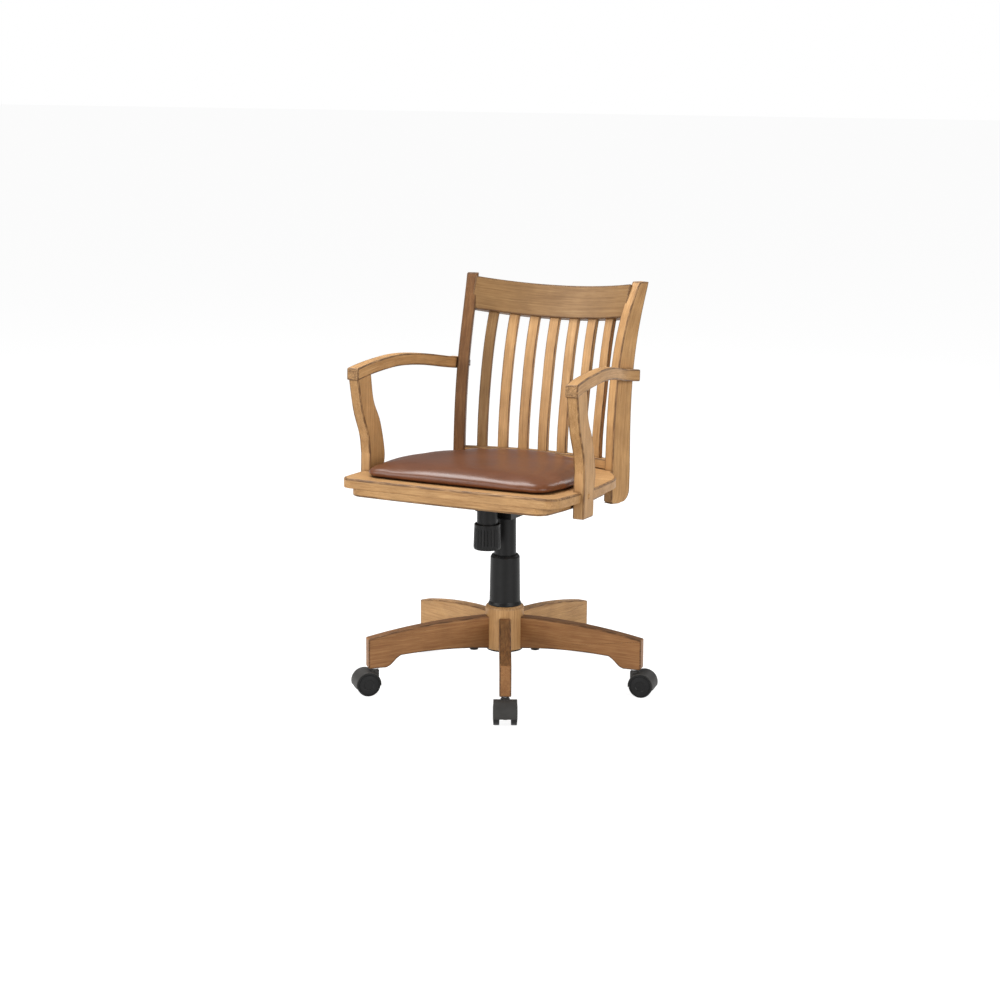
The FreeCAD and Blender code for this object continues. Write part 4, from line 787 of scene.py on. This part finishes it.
def armTop(y):  # a smooth curve through the points of the arm's line: y, height and slope
    spans = list(zip(arm["line"], arm["line"][1:]))
    start, end = next((span for span in spans if y <= span[1][0]), spans[-1])
    run = end[0] - start[0]
    t = (y - start[0]) / run
    return (start[1] + (end[1] - start[1]) * t * t * (3 - 2 * t)
            + run * (start[2] * t * (1 - t) ** 2 - end[2] * t * t * (1 - t)))


def makeArms():
    a = arm
    slope = math.tan(math.radians(a["splay"]))
    run = a["rearY"] - a["frontY"]
    straightEnd = a["frontX"] - run * slope
    stations = []
    for k in range(a["steps"] + 1):
        y = a["frontY"] + run * k / a["steps"]
        share = k / a["steps"]
        turnOut = max(0.0, (y - a["bendY"]) / (a["rearY"] - a["bendY"])) ** 1.6
        bowShare = min(1.0, (y - a["frontY"]) / (a["bendY"] - a["frontY"]))
        bowed = a["bow"] * max(0.0, math.sin(math.pi * bowShare)) ** 1.5
        x = a["frontX"] - (y - a["frontY"]) * slope + bowed
        x += (a["rearX"] - straightEnd) * turnOut
        width = a["width"] + (a["rearWidth"] - a["width"]) * share
        centre = Vector((x, y, armTop(y) - a["thick"] / 2))
        stations.append((centre, Vector((-1, 0, 0)), Vector((0, 0, 1)), width, a["thick"]))
    head = armTop(a["frontY"]) - a["thick"] / 2
    front, rear = a["postFront"], a["postFront"] + a["postDepth"]
    low, lean = a["waist"], a["lean"]
    rise = head - low
    frontEdge = through([(front, low), (front - lean * 0.16, low + rise * 0.24),
                         (front - lean * 0.62, low + rise * 0.55), (front - lean, head)])
    rearEdge = through([(rear - lean - 2, head), (rear - lean * 0.8, low + rise * 0.66),
                        (rear - lean * 0.28, low + rise * 0.38), (rear + a["belly"], low), (rear, 0)])
    foot = bend([rearEdge[-1], (rear, a["postFoot"], 5), (front, a["postFoot"], 3), frontEdge[0]],
                closed=False)[1:-1]
    half = a["postWidth"] / 2
    post = plate(frontEdge + rearEdge + foot, -half, half, a["postEdge"],
                 toSpace=lambda u, v, w: (w, u, v), grain=lambda u, v, w: (v, u, w))
    pivot = Matrix.Translation((a["frontX"], a["frontY"], 0))
    postTurn = Matrix.Rotation(math.radians(a["postSplay"]), 4, "Z")
    postPlace = pivot @ postTurn @ Matrix.Translation((0, -a["frontY"], 0))
    for word, flip in (("right", Matrix()), ("left", mirror)):
        side = word.capitalize()
        makeWooden("arm" + side, [bar(stations, a["edge"])], "arm_" + word, place=flip)
        makeWooden("armPost" + side, [post], "arm_post_" + word, place=flip @ postPlace)
    print("arms made")


makeArms()


# Cushion: a crowned pad, swollen as cloth over its board

pad = {"halfFront": 210, "halfMid": 215, "halfRear": 155, "front": -249, "bow": 5, "rearSide": 113,
       "rear": 152, "corner": 36, "lift": 1.0, "voxel": 5.0, "pressure": 4.0, "cap": 2.5, "pinned": 5.0,
       "stretch": 25, "bending": 2, "frames": 20, "smooth": 30,
       "levels": ((0, 4), (4, 0.5), (9, -0.5), (13, 0.5), (16.5, 3), (19.5, 7), (22.5, 13.5), (25, 22),
                  (27.2, 34), (29, 50), (30.3, 70), (31, 94))}  # height and inset of each outline


def padOutline(inset):
    p = pad
    front, half = p["front"] + inset, p["halfFront"] - inset
    rearHalf, rearY = p["halfRear"] - inset, p["rearSide"] - inset
    turn = p["corner"]
    diagonal = turn * (1 - math.sqrt(0.5))
    sideY = front + p["bow"]
    right = [(half - turn, sideY), (half - diagonal, sideY + diagonal), (half, sideY + turn),
             (p["halfMid"] - inset, (front + rearY) / 2 - 40), (rearHalf + 4, rearY - 24),
             (rearHalf - 1.5, rearY - 3), (rearHalf - 20, rearY + 6)]
    left = [(-x, y) for x, y in right]
    path = arcThrough(left[0], (0, front), right[0], 30) + arcThrough(right[0], right[1], right[2], 10)
    path += arcThrough(right[2], right[3], right[4], 30) + arcThrough(right[4], right[5], right[6], 10)
    path += arcThrough(right[6], (0, p["rear"] - inset), left[6], 30)
    path += arcThrough(left[6], left[5], left[4], 10)
    return path + arcThrough(left[4], left[3], left[2], 30) + arcThrough(left[2], left[1], left[0], 10)


def swell(piece, still):  # cloth under pressure, held where still says so
    remesh = piece.modifiers.new("even mesh", "REMESH")
    remesh.mode = "VOXEL"
    remesh.voxel_size = pad["voxel"] * millimetre
    depsgraph = bpy.context.evaluated_depsgraph_get()
    piece.data = bpy.data.meshes.new_from_object(piece.evaluated_get(depsgraph))
    piece.modifiers.clear()
    rest = [v.co.copy() for v in piece.data.vertices]
    group = piece.vertex_groups.new(name="still")
    group.add([i for i, co in enumerate(rest) if still(co)], 1.0, "REPLACE")
    cloth = piece.modifiers.new("swell", "CLOTH")
    cloth.settings.use_pressure = True
    cloth.settings.uniform_pressure_force = pad["pressure"]
    cloth.settings.vertex_group_mass = "still"
    cloth.settings.effector_weights.gravity = 0
    cloth.settings.tension_stiffness = cloth.settings.compression_stiffness = pad["stretch"]
    cloth.settings.bending_stiffness = pad["bending"]
    cloth.point_cache.frame_start, cloth.point_cache.frame_end = 1, pad["frames"]
    scene = bpy.context.scene
    for step in range(1, pad["frames"] + 1):
        scene.frame_set(step)
    grown = piece.evaluated_get(bpy.context.evaluated_depsgraph_get()).to_mesh()
    moved = [v.co.copy() for v in grown.vertices]
    piece.modifiers.remove(cloth)
    scene.frame_set(1)
    limit = pad["cap"] * millimetre
    for vertex, start, end in zip(piece.data.vertices, rest, moved):
        step = end - start
        vertex.co = start + step * (limit / max(step.length, limit))


def makeCushion():
    rings = []
    for z, inset in pad["levels"]:
        ring = [Vector((q.x, q.y, z + pad["lift"])) for q in padOutline(inset)]
        rings.append([(point, point, 0.0) for point in ring])
    piece = makePiece("seatCushion", [rings], "seat", "seat_cushion", brownVinyl,
                      seatPlace)
    piece.modifiers.clear()
    toSeat = (Matrix.Scale(millimetre, 4) @ seatPlace @ Matrix.Scale(1 / millimetre, 4)).inverted()
    swell(piece, lambda co: (toSeat @ co).z < pad["pinned"] * millimetre)
    for face in piece.data.polygons:
        face.use_smooth = True
    smooth = piece.modifiers.new("smooth", "SMOOTH")
    smooth.factor, smooth.iterations = 0.5, pad["smooth"]
    finer = piece.modifiers.new("finer", "SUBSURF")
    finer.levels = finer.render_levels = 1
    print("cushion made")


makeCushion()


# Plugs over the side screws

plug = {"radius": 6, "dome": 2.5, "z": -10, "depth": 6, "steps": 8}


def makePlugs():
    parts = []
    turns = [math.pi / 2 * k / plug["steps"] for k in range(plug["steps"])]
    dome = [(plug["radius"] * math.cos(t), plug["dome"] * math.sin(t)) for t in turns]
    shape = lathe([(plug["radius"], -plug["depth"])] + dome + [(0.1, plug["dome"])], 40)
    middleY = arm["postFront"] + arm["postDepth"] / 2
    for flip in (Matrix(), mirror):
        splay = Matrix.Rotation(math.radians(arm["postSplay"]), 4, "Z")
        place = (flip @ Matrix.Translation((arm["frontX"], arm["frontY"], plug["z"])) @ splay
                 @ Matrix.Translation((arm["postWidth"] / 2, middleY - arm["frontY"], 0))
                 @ Matrix.Rotation(math.pi / 2, 4, "Y"))
        parts.append(placed(shape, place))
    makeWooden("sidePlugs", parts, "side_plugs", plugWood)
    print("plugs made")


makePlugs()


# Finish for the CAD nodes that stay

kept = {
    "black_steel": blackPaint, "bright_steel": brightSteel, "black_plastic": blackPlastic,
    "chair_wood": chairWood, "base_wood": baseWood, "cushion_vinyl": brownVinyl}


def dressNodes():
    slots = {entry["node"]: entry["material_slot"] for entry in frame["record"]["subparts"]}
    slots["base_screws"] = "black_steel"  # they are blackened
    for name, node in frame["nodes"].items():
        if not node.hide_render:
            node.data.materials.clear()
            node.data.materials.append(kept[slots[name]])
    print("plain nodes dressed")


dressNodes()


# Floor, lights and camera

studio = {"floor": 60.0, "floorTone": 0.30, "floorGlow": 0.90, "background": 1.0, "ambient": 0.22}
lights = (
    {"name": "key", "at": (-2.8, -3.1, 2.6), "aim": (0, 0, 0.45), "size": 2.2, "power": 103},
    {"name": "front", "at": (-0.8, -4.3, 0.9), "aim": (0, 0, 0.2), "size": 2.0, "power": 53},
    {"name": "fill", "at": (3.6, -1.6, 1.5), "aim": (0, 0, 0.45), "size": 2.4, "power": 100},
    {"name": "rim", "at": (1.4, 3.2, 2.6), "aim": (0, 0, 0.6), "size": 1.6, "power": 37},
    {"name": "overhead", "at": (-1.2, 0.1, 3.0), "aim": (0, 0, 0.45), "size": 1.6, "power": 86},
)
camera = {"at": (1.9316, -3.865, 1.274), "yaw": 26.71, "pitch": 11.487, "roll": 0.4, "lens": 75.55}


def makeFloor():
    size, tone = studio["floor"], studio["floorTone"]
    mesh = bpy.data.meshes.new("floor")
    corners = [(-size, -size, 0), (size, -size, 0), (size, size, 0), (-size, size, 0)]
    mesh.from_pydata(corners, [], [(0, 1, 2, 3)])
    floor = bpy.data.objects.new("floor", mesh)
    bpy.context.scene.collection.objects.link(floor)
    material, tree, shader = newMaterial("pale floor")
    shader.inputs["Base Color"].default_value = (tone, tone, tone, 1)
    shader.inputs["Roughness"].default_value = 1.0
    shader.inputs["Specular IOR Level"].default_value = 0.0
    rays = add(tree, "ShaderNodeLightPath")
    seen = math2(tree, "MAXIMUM", rays.outputs["Is Camera Ray"], rays.outputs["Is Glossy Ray"])
    seen = math2(tree, "MAXIMUM", seen, rays.outputs["Is Transmission Ray"])
    glow = math2(tree, "MULTIPLY", seen, studio["floorGlow"])
    shader.inputs["Emission Color"].default_value = (1, 1, 1, 1)
    tree.links.new(glow, shader.inputs["Emission Strength"])
    mesh.materials.append(material)


def makeWorld():
    world = bpy.data.worlds.new("studio")
    bpy.context.scene.world = world
    world.use_nodes = True
    tree = world.node_tree
    background = tree.nodes["Background"]
    rays = add(tree, "ShaderNodeLightPath")
    seen = math2(tree, "MAXIMUM", rays.outputs["Is Camera Ray"], rays.outputs["Is Transmission Ray"])
    extra = math2(tree, "MULTIPLY", seen, studio["background"] - studio["ambient"])
    strength = math2(tree, "ADD", extra, studio["ambient"])
    background.inputs["Color"].default_value = (1, 1, 1, 1)
    tree.links.new(strength, background.inputs["Strength"])


def makeLights():
    for entry in lights:
        light = bpy.data.lights.new(entry["name"], "AREA")
        light.size = entry["size"]
        light.energy = entry["power"]
        lamp = bpy.data.objects.new(entry["name"], light)
        lamp.location = entry["at"]
        towards = Vector(entry["aim"]) - Vector(entry["at"])
        lamp.rotation_euler = towards.to_track_quat("-Z", "Y").to_euler()
        bpy.context.scene.collection.objects.link(lamp)


def makeCamera():
    lens = bpy.data.cameras.new("camera")
    lens.lens, lens.sensor_width = camera["lens"], 36
    view = bpy.data.objects.new("camera", lens)
    turn = (Matrix.Rotation(math.radians(camera["yaw"]), 4, "Z")
            @ Matrix.Rotation(math.radians(90 - camera["pitch"]), 4, "X")
            @ Matrix.Rotation(math.radians(camera["roll"]), 4, "Z"))
    view.matrix_world = Matrix.Translation(camera["at"]) @ turn
    bpy.context.scene.collection.objects.link(view)
    bpy.context.scene.camera = view
    bpy.context.scene.view_settings.view_transform = "Standard"
    print("studio made")


makeFloor()
makeWorld()
makeLights()
makeCamera()
